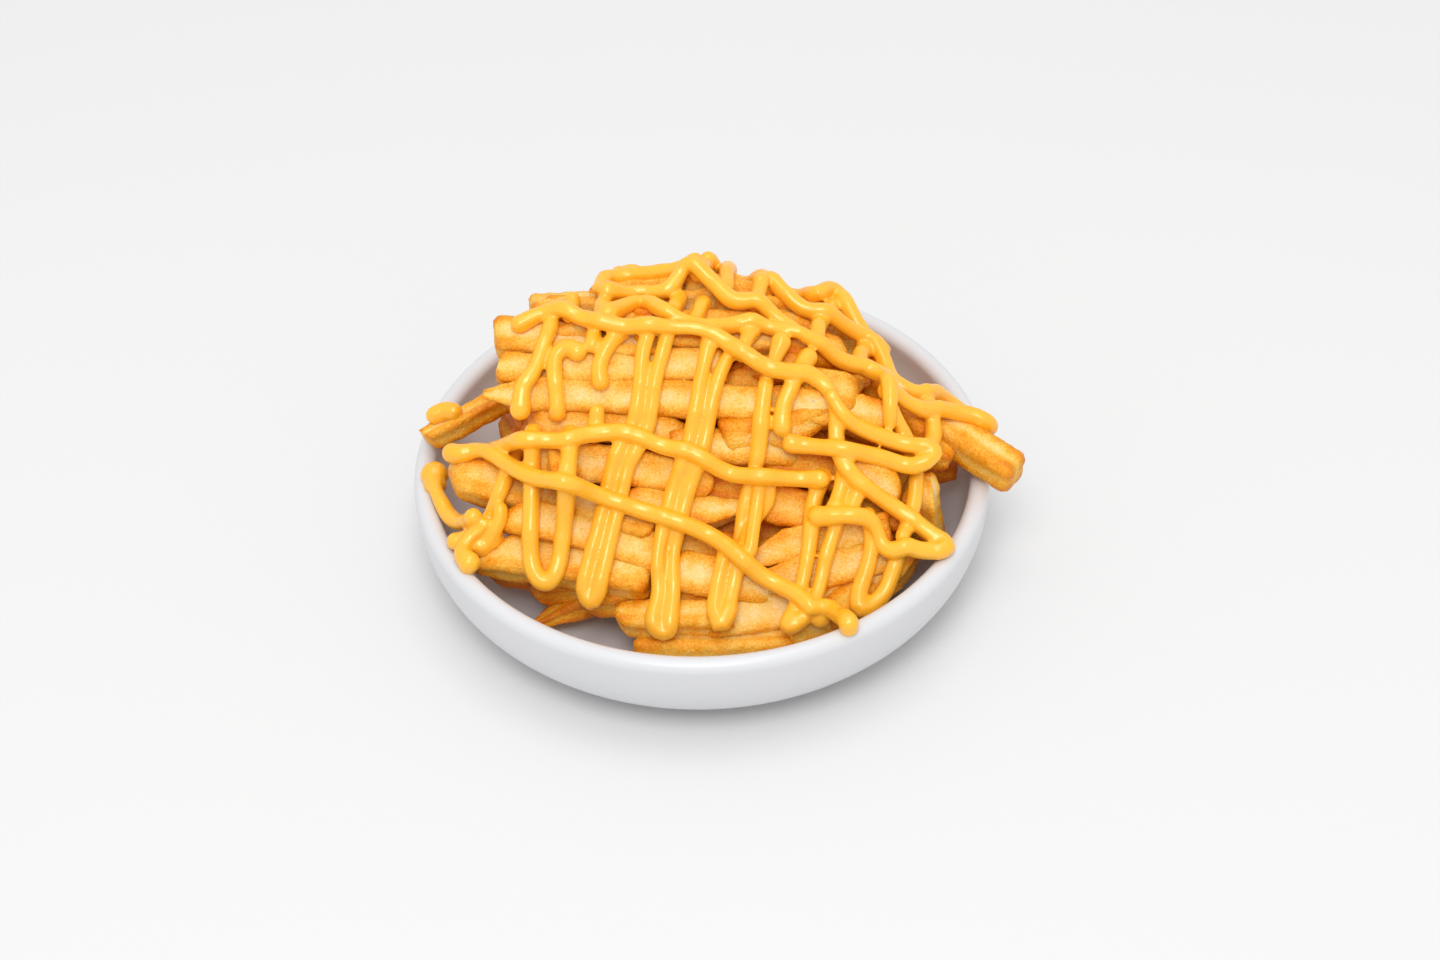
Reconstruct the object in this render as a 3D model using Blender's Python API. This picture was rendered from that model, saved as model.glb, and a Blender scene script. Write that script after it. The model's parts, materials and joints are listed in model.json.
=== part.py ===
"""Cheese fries: a shallow white dish, heaped with fries under strands of cheese sauce.

The dish stands on z = 0 and its axis runs through the origin. The heap of fries is steep
towards -Y, flat on top and falls away at the back and the right. Sizes are in millimetres
and become metres where the meshes are made.
"""
import functools
import math
import random

import bmesh
import bpy
from mathutils import Quaternion, Vector
from mathutils.bvhtree import BVHTree

MM = 0.001
UP = Vector((0.0, 0.0, 1.0))
SEED = 21

# Dish
DISH_RADIUS = 90.0
DISH_HEIGHT = 36.0
RIM_WIDTH = 6.4
BASE_RADIUS = 54.0
FLOOR_RADIUS = 50.0
FLOOR_HEIGHT = 5.0
CORNER_HEIGHT = 31.0
OUTER_POWER = 2.3
INNER_POWER = 2.1
DISH_SEGMENTS = 64
CORNER_STEPS = 5
RIM_STEPS = 4
CLEARANCE = 0.35
FACET_MARGIN = 0.4
EDGE_SAMPLES = 10

# The heap's faces: a point on each, the way it falls in plan, and how steeply
HEAP_FACES = {
    "front": ((0.0, 4.0, 83.0), (0.0, -1.0), 0.914),
    "top": ((0.0, 10.0, 86.0), (0.1, 1.0), 0.12),
    "back left": ((-32.0, 34.0, 79.0), (-0.25, 1.0), 1.15),
    "back right": ((26.0, 31.0, 77.0), (0.45, 1.0), 1.15),
    "right": ((88.0, 0.0, 45.0), (0.97, 0.22), 0.62),
    "left": ((-69.0, 0.0, 74.0), (-1.0, 0.0), 2.2),
}
HEAP_SOFTNESS = 5.0
NORMAL_STEP = 2.0

# Share of the fused skin's triangles that is kept
KEPT_SHARE = 0.6

# Finishes: colour and roughness
DISH_FINISH = ((0.87, 0.87, 0.86), 0.35)
FRIES_FINISH = ((0.9, 0.55, 0.15), 0.5)

# The core under the fries: its plan is an oval, narrower where the dish curves in
CORE_CENTRE = (4.0, 9.0)
CORE_REACH = (54.0, 49.0)
CORE_DEPTH = 15.0
CORE_SIDES = 20
CORE_RINGS = (0.35, 0.7, 1.0)
CORE_FOOT = 0.8
CORE_WAIST = 22.0

# Fries on the heap's surface: both ends in plan, how deep the top is sunk, width, thickness, roll
FRIES_ON_HEAP = {
    "top centre": (-6, 35, 26, 32, 0, 12, 11, 0),
    "top left pale": (-52, 27, 12, 29, 0, 11, 10, 0),
    "top left second": (-45, 13, 22, 17, 1, 10, 9, 10),
    "top middle": (-20, 8, 31, 10, 0, 10, 10, 0),
    "top right": (6, 26, 42, 24, 0, 11, 10, 0),
    "top right tip": (18, 26, 47, 43, 1, 10, 9, 15),
    "left broad": (-66, 14, -12, 3, 0, 13, 10, -8),
    "left under broad": (-61, -1, -30, -3, 1, 10, 10, 0),
    "upper front": (-43, -3, 8, -3, 0, 11, 11, 0),
    "upper right brown": (10, 0, 34, -2, 2, 10, 10, 0),
    "upper dark": (2, -5, 26, -7, 4, 10, 9, 0),
    "long front": (-67, -6, 41, -13, -1, 11, 10, 0),
    "wedge": (6, -19, 42, -15, -1, 12, 12, 30),
    "under wedge": (-10, -21, 29, -23, 1, 11, 11, 0),
    "behind left": (-52, -15, 4, -18, 2, 10, 10, 0),
    "rounded middle": (-52, -22, 3, -29, 0, 11, 10, 0),
    "shaded right": (16, -22, 46, -30, 3, 11, 10, 0),
    "shaded block": (12, -33, 36, -37, 2, 12, 11, 0),
    "middle pale": (-24, -33, 16, -37, 1, 10, 10, 0),
    "middle shaded": (-10, -29, 20, -32, 4, 10, 9, 0),
    "lower middle": (-60, -35, -12, -46, 0, 11, 10, 0),
    "lower dark": (-16, -43, 14, -45, 4, 10, 9, 0),
    "lower right upper": (10, -46, 56, -41, 0, 11, 10, 0),
    "lower centre": (-12, -48, 24, -54, 0, 12, 11, 0),
    "lower right": (14, -52, 56, -46, 0, 11, 10, 0),
    "low centre dark": (-14, -54, 10, -58, 3, 10, 9, 0),
    "low pale": (0, -60, 34, -58, 0, 13, 10, 0),
    "right block": (28, -8, 51, -5, -1, 14, 13, 20),
    "right crisp": (24, 5, 49, 14, 0, 12, 10, 10),
    "right small": (46, 6, 62, 12, 2, 10, 9, 0),
    "right broken": (40, -12, 57, -14, 1, 12, 10, 0),
    "right rounded": (40, -26, 60, -33, 0, 12, 11, 0),
    "right dark": (38, -33, 64, -40, 5, 10, 10, 0),
    "right back": (54, 20, 74, -10, 3, 10, 10, 0),
    "right low": (34, -58, 63, -46, 2, 11, 10, 0),
}

# Fries with their own heights: both ends, width, thickness, roll
FRIES_BY_ENDS = {
    "left long": ((-80, -15, 46), (-14, -35, 40), 13, 12, 30),
    "left bottom": ((-67, -37, 33), (-17, -49, 31), 12, 12, 15),
    "left dark stub": ((-66, -34, 23), (-30, -40, 24), 9, 9, 0),
    "left dark under": ((-54, -40, 20), (-20, -38, 22), 9, 9, 0),
    "pointed": ((-54, -48, 15), (-20, -32, 14), 9, 8, 0),
    "front dark": ((-38, -48, 22), (-6, -46, 24), 9, 9, 0),
    "front low left": ((-27, -56, 22), (8, -60, 24), 10, 10, 0),
    "front bottom": ((-21, -62, 16), (26, -64, 17), 10, 10, 0),
    "front right bottom": ((24, -64, 23), (58, -45, 24), 10, 10, 0),
    "left rim": ((-86, 6, 40), (-38, 26, 55), 8, 8, 0),
    "left back": ((-58, 14, 66), (-20, 40, 68), 10, 10, 0),
    "left deep": ((-60, -8, 52), (-30, 6, 56), 10, 10, 0),
    "right rim": ((48, 18, 51), (96, -20, 42), 12, 11, 0),
    "right upright": ((65, -26, 46), (68, -27, 22), 9, 11, 0),
    "right front edge": ((36, -60, 24), (65, -36, 26), 10, 9, 0),
    "right inner": ((50, -2, 46), (77, -12, 43), 10, 9, 0),
    "right shaded": ((52, 2, 32), (79, -6, 31), 10, 9, 0),
}

# Fries of the back and the second layer, laid by rule inside an oval
FRY_LENGTH = (55.0, 95.0)
FRY_SIDE = (9.0, 11.5)
RULED_ROLL = 20.0
RULED_CENTRE = (6.0, 5.0)
RULED_REACH = (58.0, 67.0)
BACK_ROWS = ((36.0, 5), (47.0, 4), (57.0, 4), (66.0, 3))
BACK_HALF_WIDTH = 50.0
BACK_NARROWING = 0.5
BACK_JITTER = (5.0, 4.0)
BACK_DEPTH = 0.5
BACK_SPREAD = 42.0
RING_CENTRE = (4.0, 8.0)
RING_REACH = (57.0, 55.0)
RING_SPREAD = 16.0
RING_LENGTH = (42.0, 58.0)
RING_TILT = 5.0
LAYER_ROWS = (-58.0, -46.0, -34.0, -22.0, -10.0, 2.0, 16.0, 30.0)
LAYER_CENTRE = 4.0
LAYER_JITTER = 16.0
LAYER_DEPTH = 9.0
LAYER_SPREAD = 18.0

# Rings of low fries: height, share of the reach, first and last angle, count
RINGS = (
    (21.0, 1.0, 0.0, 165.0, 5),
    (34.0, 1.0, -20.0, 185.0, 6),
    (47.0, 0.93, 145.0, 190.0, 3),
    (58.0, 0.86, 140.0, 195.0, 3),
)

# Shape of one fry
CHAMFER = 0.22
FRY_RINGS = (0.0, 0.06, 0.94, 1.0)
END_SHRINK = 0.72
FRY_BOW = (-0.02, 0.03)
FRY_TAPER = 0.1
END_SKEW = 0.25

# Sauce strands: turning points in plan
STRAND_RADIUS = 2.75
STRAND_SIDES = 5
UNEVENNESS = 0.06
END_SIZE = 0.6
END_REACH = 0.5
DOWN_STROKES = (
    ((-44, 11), (-47, 4), (-51, -3), (-54, -7), (-54, -14)),
    ((-37, -1), (-42, 1), (-44, -3), (-43, -9), (-43, -15)),
    ((-23, 7), (-28, 1), (-30, -3), (-30, -10)),
    ((-14, 7), (-17, -1), (-19, -16), (-25, -23), (-29, -35), (-35, -50), (-34, -55), (-31, -51),
     (-26, -38), (-21, -24), (-16, -14), (-12, -3), (-9, 5)),
    ((4, 4), (0, -8), (-3, -21), (-9, -31), (-14, -45), (-14, -53), (-16, -60), (-12, -62),
     (-10, -55), (-8, -43), (-4, -30), (1, -18), (6, -6), (11, 2)),
    ((21, -4), (19, -14), (17, -25), (14, -33), (12, -42), (8, -50), (5, -58), (2, -61), (1, -54),
     (3, -45)),
    ((19, -29), (18, -38), (12, -45)),
    ((33, 0), (28, -8), (25, -13), (24, -19)),
    ((36, -28), (33, -35), (31, -45), (28, -55), (25, -62), (28, -62), (33, -54), (35, -46),
     (40, -37)),
    ((42, -28), (38, -36)),
    ((47, -31), (43, -38)),
    ((49, -38), (50, -46), (46, -56), (47, -60), (53, -55), (58, -45)),
    ((65, -25), (64, -34), (60, -44)),
    ((57, -10), (61, -16), (64, -24)),
    ((70, 2), (69, -12), (65, -24)),
    ((-54, -17), (-52, -32), (-52, -46), (-48, -53), (-44, -48), (-41, -33), (-39, -18)),
    ((-60, -18), (-62, -26), (-66, -31), (-74, -36)),
    ((-61, -31), (-64, -37), (-70, -36), (-73, -40), (-71, -44)),
    ((-79, -6), (-86, -6), (-85, -12), (-77, -20), (-70, -28)),
    ((-31, -13), (-32, -18)),
    ((25, 3), (22, -4)),
    ((16, 7), (13, -1)),
    ((10, 36), (9, 24)),
    ((20, 28), (18, 19)),
    ((38, 21), (36, 8)),
    ((43, 36), (40, 26)),
    ((52, 21), (49, 8)),
    ((-38, 22), (-39, 13)),
    ((-28, 22), (-29, 12)),
    ((-5, 22), (-8, 12)),
    ((2, 19), (-1, 9)),
    ((2, 44), (3, 36), (1, 28)),
)
ACROSS_STROKES = (
    ((-28, 23), (-24, 35), (-14, 33), (-4, 31)),
    ((-27, 21), (-18, 24), (-9, 23), (-3, 27), (4, 24), (11, 18), (20, 16), (30, 9)),
    ((23, 37), (29, 42), (35, 38), (38, 34), (44, 37), (50, 29), (58, 22)),
    ((4, 38), (12, 43), (18, 39), (24, 30), (31, 24), (40, 21), (52, 22), (57, 16), (60, 7), (68, 4),
     (76, 9), (84, 5), (89, -3), (78, -2), (66, -7), (57, -6)),
    ((-27, 11), (-17, 19), (-9, 12), (3, 8), (16, 10), (28, 7), (42, 4), (52, 4), (57, -3),
     (57, -16)),
    ((-54, 12), (-45, 15), (-34, 10), (-24, 7), (1, 5), (12, 0), (22, -5), (34, -6), (40, -12),
     (41, -23), (46, -30), (64, -40), (72, -45), (62, -47), (54, -45), (49, -38), (34, -37)),
    ((42, -15), (54, -19), (66, -22), (70, -24), (64, -27), (50, -24), (31, -22)),
    ((-64, -20), (-56, -19), (-50, -19), (-41, -20), (-34, -18), (-23, -17), (-11, -20), (-3, -20),
     (6, -26), (14, -28), (35, -29), (33, -34)),
    ((-78, -20), (-77, -15), (-72, -16), (-54, -25), (-39, -28), (-27, -32), (-5, -38), (5, -42),
     (16, -49), (27, -54), (33, -58), (38, -64), (41, -80)),
)

# Strokes of the back: a row of narrow loops down it, shorter towards its sides
BACK_STROKES = 6
BACK_STROKE_FIRST = -40.0
BACK_STROKE_GAP = 16.0
BACK_STROKE_TOP = 42.0
BACK_STROKE_MIDDLE = 52.0
BACK_STROKE_REACH = 64.0
BACK_STROKE_JITTER = (-4.0, 6.0)
BACK_STROKE_DROOP = (0.25, 0.12)
BACK_STROKE_STEPS = (2.0, 3.0, 6.0, 7.0, 8.0)

# The one wavy stroke across the back
BACK_ACROSS_TURNS = 9
BACK_ACROSS_FIRST = -46.0
BACK_ACROSS_GAP = 12.0
BACK_ACROSS_PLACE = 54.0
BACK_ACROSS_WAVE = 3.0
BACK_ACROSS_CURVE = 0.003

# Where a strand is felt to touch: rings round its foot, as a share of its radius, and their points
FEELERS = ((0.0, 1), (0.5, 6), (0.9, 8))
STRAND_STEP = 2.5
STRAND_SINK = 0.35
STRAND_CLEARANCE = 1.2
SAG = 0.3
SAG_PASSES = 40
DRAPE_START = 30.0
DEEPEST_DRAPE = 20.0
DRAPE_INSIDE = 66.0
DRAPE_RIM = 78.0
THIN_TOLERANCE = 0.8
LONGEST_RING_GAP = 13.0


def heap_height(x, y):
    """Height of the heap's outer form: the lowest of its faces, blended where they meet."""
    heights = []
    for (px, py, pz), (dx, dy), fall in HEAP_FACES.values():
        run = ((x - px) * dx + (y - py) * dy) / math.hypot(dx, dy)
        heights.append(pz - run * fall)
    low = min(heights)
    blend = sum(math.exp((low - h) / HEAP_SOFTNESS) for h in heights)
    return low - HEAP_SOFTNESS * math.log(blend)


def heap_normal(x, y):
    step = NORMAL_STEP
    slope_x = (heap_height(x + step, y) - heap_height(x - step, y)) / (2 * step)
    slope_y = (heap_height(x, y + step) - heap_height(x, y - step)) / (2 * step)
    return Vector((-slope_x, -slope_y, 1.0)).normalized()


def corner_curve(low_radius, high_radius, low, high, power, steps):
    """Points up a rounded corner, from the flat base to the upright wall."""
    points = []
    for i in range(steps + 1):
        angle = math.pi / 2 * i / steps
        out = math.sin(angle) ** (2 / power)
        rise = 1 - math.cos(angle) ** (2 / power)
        points.append((low_radius + (high_radius - low_radius) * out, low + (high - low) * rise))
    return points


def dish_profile(corner_steps, rim_steps):
    """Half section of the dish, from the edge of its base round the rim to its floor."""
    inner_radius = DISH_RADIUS - RIM_WIDTH
    rim_radius = RIM_WIDTH / 2
    rim_centre = DISH_HEIGHT - rim_radius
    profile = corner_curve(BASE_RADIUS, DISH_RADIUS, 0, CORNER_HEIGHT, OUTER_POWER, corner_steps)
    for i in range(rim_steps + 1):
        angle = math.pi * i / rim_steps
        radius = DISH_RADIUS - rim_radius + rim_radius * math.cos(angle)
        profile.append((radius, rim_centre + rim_radius * math.sin(angle)))
    inner = corner_curve(FLOOR_RADIUS, inner_radius, FLOOR_HEIGHT, CORNER_HEIGHT, INNER_POWER,
                         corner_steps)
    return profile + inner[::-1]


def turned_mesh(name, profile, segments):
    """A closed solid of revolution from a half section that starts and ends off the axis."""
    bm = bmesh.new()
    rings = []
    for radius, height in profile:
        ring = []
        for i in range(segments):
            angle = 2 * math.pi * i / segments
            place = Vector((radius * math.cos(angle), radius * math.sin(angle), height))
            ring.append(bm.verts.new(place * MM))
        rings.append(ring)
    for lower, upper in zip(rings, rings[1:]):
        for i in range(segments):
            j = (i + 1) % segments
            bm.faces.new((lower[i], lower[j], upper[j], upper[i]))
    for ring, height, flip in ((rings[0], profile[0][1], True), (rings[-1], profile[-1][1], False)):
        middle = bm.verts.new(Vector((0, 0, height)) * MM)
        for i in range(segments):
            j = (i + 1) % segments
            corners = (ring[j], ring[i], middle) if flip else (ring[i], ring[j], middle)
            bm.faces.new(corners)
    return finish_mesh(bm, name)


def finish_mesh(bm, name):
    bmesh.ops.recalc_face_normals(bm, faces=bm.faces)
    mesh = bpy.data.meshes.new(name)
    bm.to_mesh(mesh)
    bm.free()
    return mesh


def skin_rings(bm, rings):
    """Joins rings of points, each a list of vectors in millimetres, into one closed tube."""
    made = [[bm.verts.new(place * MM) for place in ring] for ring in rings]
    count = len(made[0])
    for lower, upper in zip(made, made[1:]):
        for i in range(count):
            j = (i + 1) % count
            bm.faces.new((lower[i], lower[j], upper[j], upper[i]))
    bm.faces.new(made[0][::-1])
    bm.faces.new(made[-1])


def fry_section(width, thickness):
    """The corners of a fry's section, a rectangle with its corners cut off."""
    cut = CHAMFER * min(width, thickness)
    half_w, half_t = width / 2, thickness / 2
    return [
        (half_w, -half_t + cut), (half_w, half_t - cut), (half_w - cut, half_t),
        (-half_w + cut, half_t), (-half_w, half_t - cut), (-half_w, -half_t + cut),
        (-half_w + cut, -half_t), (half_w - cut, -half_t),
    ]


def fry_rings(start, end, width, thickness, normal, roll, draw):
    """Rings of one fry, a little bowed, tapered and cut askew at its ends."""
    along = end - start
    length = along.length
    forward = along.normalized()
    side = forward.cross(normal).normalized()
    lift = side.cross(forward)
    turn = Quaternion(forward, math.radians(roll))
    side, lift = turn @ side, turn @ lift
    bow = draw.uniform(*FRY_BOW) * length
    taper = draw.uniform(-FRY_TAPER, FRY_TAPER)
    skew = [draw.uniform(-END_SKEW, END_SKEW) for _ in range(2)]
    rings = []
    for at in FRY_RINGS:
        end_ring = at in (0.0, 1.0)
        shrink = END_SHRINK if end_ring else 1 + taper * (at - 0.5)
        centre = start + along * at + lift * bow * 4 * at * (1 - at)
        slant = skew[0] * (1 - at) + skew[1] * at
        ring = []
        for across, height in fry_section(width * shrink, thickness * shrink):
            ring.append(centre + side * across + lift * height + forward * slant * across)
        rings.append(ring)
    return rings


@functools.cache
def dish_surface():
    """The dish's section from its floor out over the rim, as points of radius and height."""
    return dish_profile(CORNER_STEPS, RIM_STEPS)[::-1][:CORNER_STEPS + RIM_STEPS + 2]


def dish_top(radius):
    """Height that anything over this radius has to clear."""
    surface = dish_surface()
    if radius > surface[-1][0] + FACET_MARGIN:
        return 0.0
    top = FLOOR_HEIGHT
    for (r0, z0), (r1, z1) in zip(surface, surface[1:]):
        if r0 - FACET_MARGIN <= radius <= r1 + FACET_MARGIN:
            outer = min(max((radius + FACET_MARGIN - r0) / max(r1 - r0, FACET_MARGIN), 0), 1)
            inner = min(max((radius - FACET_MARGIN - r0) / max(r1 - r0, FACET_MARGIN), 0), 1)
            top = max(top, z0 + (z1 - z0) * outer, z0 + (z1 - z0) * inner)
    return top


def lift_clear(rings):
    """Raises a fry until it clears the dish all along."""
    need = 0.0
    for lower, upper in zip(rings, rings[1:]):
        for start, end in zip(lower, upper):
            for i in range(EDGE_SAMPLES + 1):
                place = start.lerp(end, i / EDGE_SAMPLES)
                need = max(need, dish_top(math.hypot(place.x, place.y)) + CLEARANCE - place.z)
    return [[place + UP * need for place in ring] for ring in rings]


def all_fries():
    """The rings of every fry: those seen from the front, then the back and the second layer."""
    draw = random.Random(SEED)
    fries = []
    for x1, y1, x2, y2, sunk, width, thickness, roll in FRIES_ON_HEAP.values():
        ends = []
        for x, y in ((x1, y1), (x2, y2)):
            top = Vector((x, y, heap_height(x, y)))
            ends.append(top - heap_normal(x, y) * (thickness / 2 + sunk))
        normal = heap_normal((x1 + x2) / 2, (y1 + y2) / 2)
        fries.append(fry_rings(ends[0], ends[1], width, thickness, normal, roll, draw))
    for start, end, width, thickness, roll in FRIES_BY_ENDS.values():
        fries.append(fry_rings(Vector(start), Vector(end), width, thickness, UP, roll, draw))
    for y, count in BACK_ROWS:
        half = BACK_HALF_WIDTH - (y - BACK_ROWS[0][0]) * BACK_NARROWING
        for i in range(count):
            x = -half + 2 * half * (i + 0.5) / count + draw.uniform(-BACK_JITTER[0], BACK_JITTER[0])
            shift = draw.uniform(-BACK_JITTER[1], BACK_JITTER[1])
            fries.append(ruled_fry(x, y + shift, BACK_DEPTH, draw, BACK_SPREAD))
    for height, scale, first, last, count in RINGS:
        for i in range(count):
            angle = first + (last - first) * i / (count - 1)
            fries.append(ring_fry(height, scale, angle, draw))
    for y in LAYER_ROWS:
        x = LAYER_CENTRE + draw.uniform(-LAYER_JITTER, LAYER_JITTER)
        fries.append(ruled_fry(x, y, LAYER_DEPTH, draw, LAYER_SPREAD))
    return [lift_clear(rings) for rings in fries]


def ruled_fry(x, y, sunk, draw, spread):
    """A fry of a drawn length and direction whose middle lies at one place on the heap."""
    length = draw.uniform(*FRY_LENGTH)
    side = draw.uniform(*FRY_SIDE)
    angle = math.radians(draw.uniform(-spread, spread))
    half = Vector((math.cos(angle), math.sin(angle), 0)) * length / 2
    ends = []
    for sign in (-1, 1):
        ex, ey = x + sign * half.x - RULED_CENTRE[0], y + sign * half.y - RULED_CENTRE[1]
        beyond = max(1.0, math.hypot(ex / RULED_REACH[0], ey / RULED_REACH[1]))
        ex, ey = RULED_CENTRE[0] + ex / beyond, RULED_CENTRE[1] + ey / beyond
        top = Vector((ex, ey, heap_height(ex, ey)))
        ends.append(top - heap_normal(ex, ey) * (side / 2 + sunk))
    normal = heap_normal(x, y)
    roll = draw.uniform(-RULED_ROLL, RULED_ROLL)
    return fry_rings(ends[0], ends[1], side, side, normal, roll, draw)


def ring_fry(height, scale, angle, draw):
    """A fry that lies along the heap's flank, level or nearly so."""
    around = math.radians(angle)
    along = around + math.pi / 2 + math.radians(draw.uniform(-RING_SPREAD, RING_SPREAD))
    middle = Vector((RING_CENTRE[0] + RING_REACH[0] * scale * math.cos(around),
                     RING_CENTRE[1] + RING_REACH[1] * scale * math.sin(around), height))
    half = Vector((math.cos(along), math.sin(along), 0)) * draw.uniform(*RING_LENGTH) / 2
    half.z = draw.uniform(-RING_TILT, RING_TILT)
    side = draw.uniform(*FRY_SIDE)
    roll = draw.uniform(-RULED_ROLL, RULED_ROLL)
    return fry_rings(middle - half, middle + half, side, side, UP, roll, draw)


def core_mesh():
    """The solid under the fries, an oval that follows the heap's form a little way down."""
    bm = bmesh.new()
    rings = []
    foot = FLOOR_HEIGHT + CLEARANCE
    levels = [(CORE_FOOT, foot), (1.0, CORE_WAIST)]
    levels += [(scale, None) for scale in CORE_RINGS[::-1]]
    for scale, height in levels:
        ring = []
        for i in range(CORE_SIDES):
            angle = 2 * math.pi * i / CORE_SIDES
            x = CORE_CENTRE[0] + CORE_REACH[0] * scale * math.cos(angle)
            y = CORE_CENTRE[1] + CORE_REACH[1] * scale * math.sin(angle)
            z = height
            if z is None:
                z = max(heap_height(x, y) - CORE_DEPTH, CORE_WAIST + 1)
            ring.append(Vector((x, y, z)))
        rings.append(ring)
    skin_rings(bm, rings)
    return finish_mesh(bm, "core")


def smooth_path(turns, step):
    """Points along a curve through the turning points, spaced by about one step."""
    ends = [turns[0]] + list(turns) + [turns[-1]]
    path = []
    for a, b, c, d in zip(ends, ends[1:], ends[2:], ends[3:]):
        a, b, c, d = (Vector(p) for p in (a, b, c, d))
        count = max(2, round((c - b).length / step))
        for i in range(count):
            t = i / count
            path.append(0.5 * (2 * b + (c - a) * t + (2 * a - 5 * b + 4 * c - d) * t * t
                               + (3 * b - a - 3 * c + d) * t ** 3))
    path.append(Vector(turns[-1]))
    return path


def resting_height(trees, foot, normal, radius):
    """How far off the heap's form a ball rests when it is pressed onto what lies there."""
    side = normal.orthogonal().normalized()
    lift = normal.cross(side)
    best = -DEEPEST_DRAPE
    for ring, count in FEELERS:
        for i in range(count):
            angle = 2 * math.pi * i / count
            away = ring * radius
            start = foot + (side * math.cos(angle) + lift * math.sin(angle)) * away
            start += normal * DRAPE_START
            for tree in trees:
                distance = tree.ray_cast(start * MM, -normal)[3]
                if distance is not None:
                    height = DRAPE_START - distance / MM
                    best = max(best, height + math.sqrt(radius ** 2 - away ** 2))
    return best


def draped(turns, trees, dish_tree, radius):
    """A strand's centre line: it lies on the fries and hangs in a shallow bow between them."""
    feet, normals = [], []
    for place in smooth_path(turns, STRAND_STEP):
        height = heap_height(place.x, place.y)
        slope = heap_normal(place.x, place.y)
        outward = min(max((place.length - DRAPE_INSIDE) / (DRAPE_RIM - DRAPE_INSIDE), 0), 1)
        height += (max(height, DISH_HEIGHT) - height) * outward
        feet.append(Vector((place.x, place.y, height)))
        normals.append(Vector((0, slope.y, slope.z)).lerp(UP, outward).normalized())
    rest = []
    for foot, normal in zip(feet, normals):
        on_food = resting_height(trees, foot, normal, radius) - STRAND_SINK * radius
        on_dish = resting_height([dish_tree], foot, normal, radius) + STRAND_CLEARANCE
        rest.append(max(on_food, on_dish))
    line = [foot + normal * height for foot, normal, height in zip(feet, normals, rest)]
    for _ in range(SAG_PASSES):
        for i in range(1, len(line) - 1):
            middle = (line[i - 1] + line[i + 1]) / 2
            height = max(rest[i], (middle - feet[i]).dot(normals[i]) - SAG)
            line[i] = feet[i] + normals[i] * height
    return line


def thinned(points):
    """Fewer points on the same line, closer together where it bends."""
    kept = [0]
    last = len(points) - 1
    while kept[-1] < last:
        start = kept[-1]
        reach = start + 1
        while reach < last:
            chord = points[reach + 1] - points[start]
            off = max((points[k] - points[start]).cross(chord).length / chord.length
                      for k in range(start + 1, reach + 1))
            if off > THIN_TOLERANCE or chord.length > LONGEST_RING_GAP:
                break
            reach += 1
        kept.append(reach)
    return [points[k] for k in kept]


def strand_rings(points, radius, sides, draw):
    """Rings round a strand's centre line, rounded off at both ends."""
    rings = []
    reference = UP
    count = len(points)
    for i, centre in enumerate(points):
        forward = (points[min(i + 1, count - 1)] - points[max(i - 1, 0)]).normalized()
        side = forward.cross(reference).normalized()
        lift = side.cross(forward)
        reference = lift
        size = radius * draw.uniform(1 - UNEVENNESS, 1 + UNEVENNESS)
        if i in (0, count - 1):
            size *= END_SIZE
            centre = centre + forward * radius * (END_REACH if i else -END_REACH)
        ring = []
        for k in range(sides):
            angle = 2 * math.pi * k / sides
            ring.append(centre + (side * math.cos(angle) + lift * math.sin(angle)) * size)
        rings.append(ring)
    return rings


def tree_of(mesh):
    bm = bmesh.new()
    bm.from_mesh(mesh)
    tree = BVHTree.FromBMesh(bm)
    bm.free()
    return tree


def back_strokes(draw):
    """Strands down the back of the heap, a zigzag like the one at the front, and one across."""
    strokes = []
    for i in range(BACK_STROKES):
        x = BACK_STROKE_FIRST + BACK_STROKE_GAP * i
        top = BACK_STROKE_TOP - abs(x) * BACK_STROKE_DROOP[0]
        reach = BACK_STROKE_REACH + draw.uniform(*BACK_STROKE_JITTER) - abs(x) * BACK_STROKE_DROOP[1]
        depths = (BACK_STROKE_MIDDLE, reach, reach + 1, BACK_STROKE_MIDDLE, top + 1)
        loop = [(x + step, depth) for step, depth in zip(BACK_STROKE_STEPS, depths)]
        strokes.append(((x, top), *loop))
    across = []
    for i in range(BACK_ACROSS_TURNS):
        x = BACK_ACROSS_FIRST + BACK_ACROSS_GAP * i
        wave = BACK_ACROSS_WAVE * (-1) ** i
        across.append((x, BACK_ACROSS_PLACE + wave - BACK_ACROSS_CURVE * x ** 2))
    strokes.append(tuple(across))
    return strokes


def mesh_of_rings(name, rings):
    bm = bmesh.new()
    skin_rings(bm, rings)
    return finish_mesh(bm, name)


def all_strands(fry_meshes, dish):
    """A mesh for each strand, every one laid over the fries, the rim and the strands before it."""
    draw = random.Random(SEED + 1)
    trees = [tree_of(mesh) for mesh in fry_meshes]
    dish_tree = tree_of(dish)
    strands = []
    for turns in DOWN_STROKES + tuple(back_strokes(draw)) + ACROSS_STROKES:
        line = draped(turns, trees, dish_tree, STRAND_RADIUS)
        line = thinned(line)
        rings = strand_rings(line, STRAND_RADIUS, STRAND_SIDES, draw)
        mesh = mesh_of_rings("strand", rings)
        strands.append(mesh)
        trees.append(tree_of(mesh))
    return strands


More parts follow.
